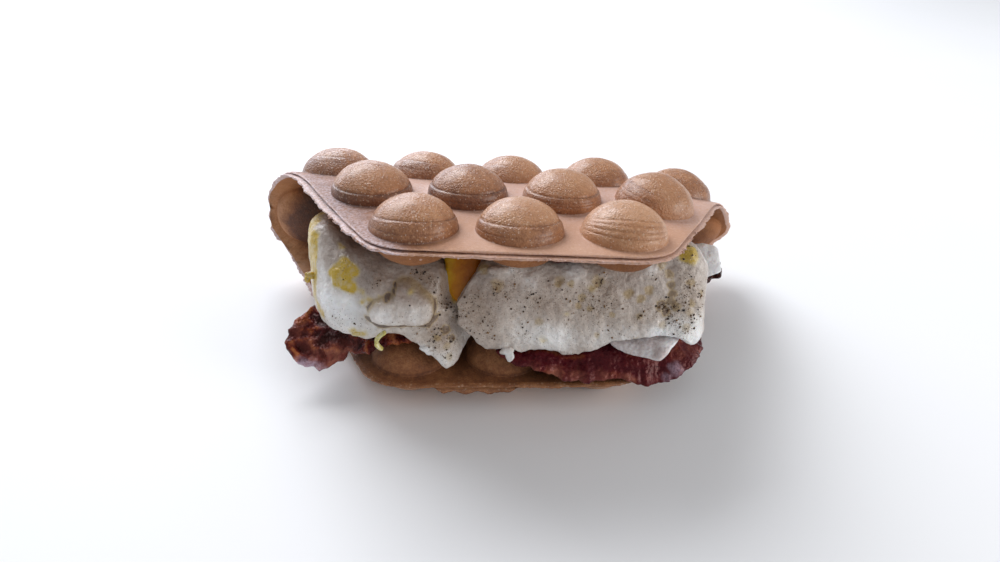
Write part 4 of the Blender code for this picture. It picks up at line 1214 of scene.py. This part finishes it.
def paint_bacon(brush, relief):
    # Lean and fat streaks, darkened where shade is painted
    streaked = brush.stirred(brush.mark("streaked"), (3, 0.35), (0.9, 0.25))
    lean = (
        (0, (0.014, 0.002, 0.002)), (0.35, (0.05, 0.005, 0.007)), (0.6, (0.1, 0.011, 0.01)),
        (0.78, (0.24, 0.05, 0.018)), (1, (0.42, 0.14, 0.05)),
    )
    colour = brush.blend(brush.mark("purple"), brush.ramp(streaked, *lean), (0.07, 0.005, 0.012))
    fat = brush.times(brush.stirred(brush.mark("fatty"), (1.4, 0.2)), 0.85, clamp=True)
    tan = brush.ramp(streaked, (0.2, (0.26, 0.065, 0.05)), (0.8, (0.5, 0.21, 0.13)))
    colour = brush.blend(fat, colour, tan)
    # Painted glints on the crinkled ends
    silvery = brush.times(brush.mark("silvery"), brush.stirred(0.7, (0.8, 0.7)), clamp=True)
    colour = brush.blend(silvery, colour, (0.6, 0.45, 0.55))
    height = brush.stirred(brush.effect("pebbles", size=1.6), (2.4, 0.8), (0.4, 0.08))
    return colour, brush.from_to(brush.effect("mottling", size=1.2), 0, 1, 0.16, 0.36), height, {
        "Relief": relief, "Specular IOR Level": 0.3, "Specular Tint": (1, 0.42, 0.36),
        "Coat Weight": 0.05, "Coat Roughness": 0.05,
    }


def paint_pepper(brush):
    shade = brush.red(brush.cells(700)["Color"])
    husks = (
        (0, (0.014, 0.009, 0.007)), (0.4, (0.045, 0.026, 0.015)), (0.65, (0.14, 0.075, 0.03)),
        (1, (0.3, 0.18, 0.08)),
    )
    height = brush.effect("pebbles", size=0.2)
    return brush.ramp(shade, *husks), brush.from_to(shade, 0, 1, 0.5, 0.8), height, {"Relief": 0.05}


def paint_floor(brush):
    clouds = brush.effect("mottling", size=260)
    colour = brush.blend(clouds, (0.85, 0.86, 0.87), (0.87, 0.87, 0.88))
    return colour, brush.from_to(clouds, 0, 1, 0.66, 0.72), clouds, {"Relief": 0.01}


FINISHES = {
    "waffle": new_finish("golden_waffle", paint_waffle),
    "egg_white": new_finish("fried_egg_white", paint_egg),
    "thin_white": new_finish("thin_egg_white", paint_thin_white),
    "yolk": new_finish("egg_yolk", paint_yolk),
    "yolk_curl": new_finish("yolk_skin", paint_curl),
    "bacon": new_finish("crisp_bacon", paint_bacon, relief=0.5),
    "soft_bacon": new_finish("soft_bacon", paint_bacon, relief=0.22),
    "pepper": new_finish("ground_pepper", paint_pepper),
}


# Stage, light and camera

def make_floor():
    bm = bmesh.new()
    bmesh.ops.create_grid(bm, x_segments=1, y_segments=1, size=3)
    mesh = to_mesh(bm, "floor")
    mesh.materials.append(new_finish("pale_floor", paint_floor))
    floor = bpy.data.objects.new("floor", mesh)
    link(floor)


def make_lamp(name, place, size, power, colour):
    lamp = bpy.data.lights.new(name, "AREA")
    lamp.shape = "RECTANGLE"
    lamp.size, lamp.size_y = size
    lamp.energy = power
    lamp.color = colour
    holder = bpy.data.objects.new(name, lamp)
    holder.location = place
    holder.rotation_euler = (Vector((0, 0, 0.04)) - holder.location).to_track_quat("-Z", "Y").to_euler()
    link(holder)


def make_light():
    """Soft daylight from behind, as in the photo, with a little thrown back from the right."""
    world = bpy.data.worlds.new("soft_room")
    bpy.context.scene.world = world
    world.use_nodes = True
    sky = world.node_tree.nodes["Background"]
    sky.inputs["Color"].default_value = (0.94, 0.96, 1, 1)
    sky.inputs["Strength"].default_value = 0.4
    make_lamp("window", (-0.55, 1.0, 1.1), (1.1, 0.8), 25, (0.94, 0.96, 1))
    make_lamp("low_window", (-0.7, 1.35, 0.42), (1.5, 0.3), 8, (0.84, 0.87, 1))
    make_lamp("bounce", (1.1, -0.35, 0.4), (0.8, 0.5), 7, (1, 0.98, 0.96))
    bpy.context.scene.view_settings.view_transform = "Standard"


def make_camera():
    yaw, down, roll = (math.radians(angle) for angle in (YAW, PITCH_DOWN, ROLL))
    back = Vector((math.sin(yaw) * math.cos(down), -math.cos(yaw) * math.cos(down), math.sin(down)))
    level = Vector((0, 0, 1)).cross(back).normalized()
    up = back.cross(level)
    right = math.cos(roll) * level + math.sin(roll) * up
    top = -math.sin(roll) * level + math.cos(roll) * up
    turn = Matrix((right, top, back)).transposed().to_4x4()
    turn.translation = Vector(AIM) * MM + back * DISTANCE * MM + SEAT
    lens = bpy.data.cameras.new("camera")
    lens.sensor_width = 36
    lens.lens = LENS
    lens.clip_start = 0.01
    camera = bpy.data.objects.new("camera", lens)
    camera.matrix_world = turn
    link(camera)
    bpy.context.scene.camera = camera


lip_places = make_waffle()
whites = [make_egg("egg_left_white", "egg_left", 3), make_egg("egg_right_white", "egg_right", 8)]
make_yolk()
make_curl()
make_rasher("bacon_rasher_left", "bacon_left", LEFT_ROUTE, 5)
make_rasher("bacon_rasher_right", "bacon_right", RIGHT_ROUTE, 6)
make_rasher("bacon_crumb", "bacon_scrap", CRUMB_ROUTE, 7, levels=2)
make_thin_white()
make_pepper(whites)
make_crumbs(lip_places)
make_floor()
make_light()
make_camera()
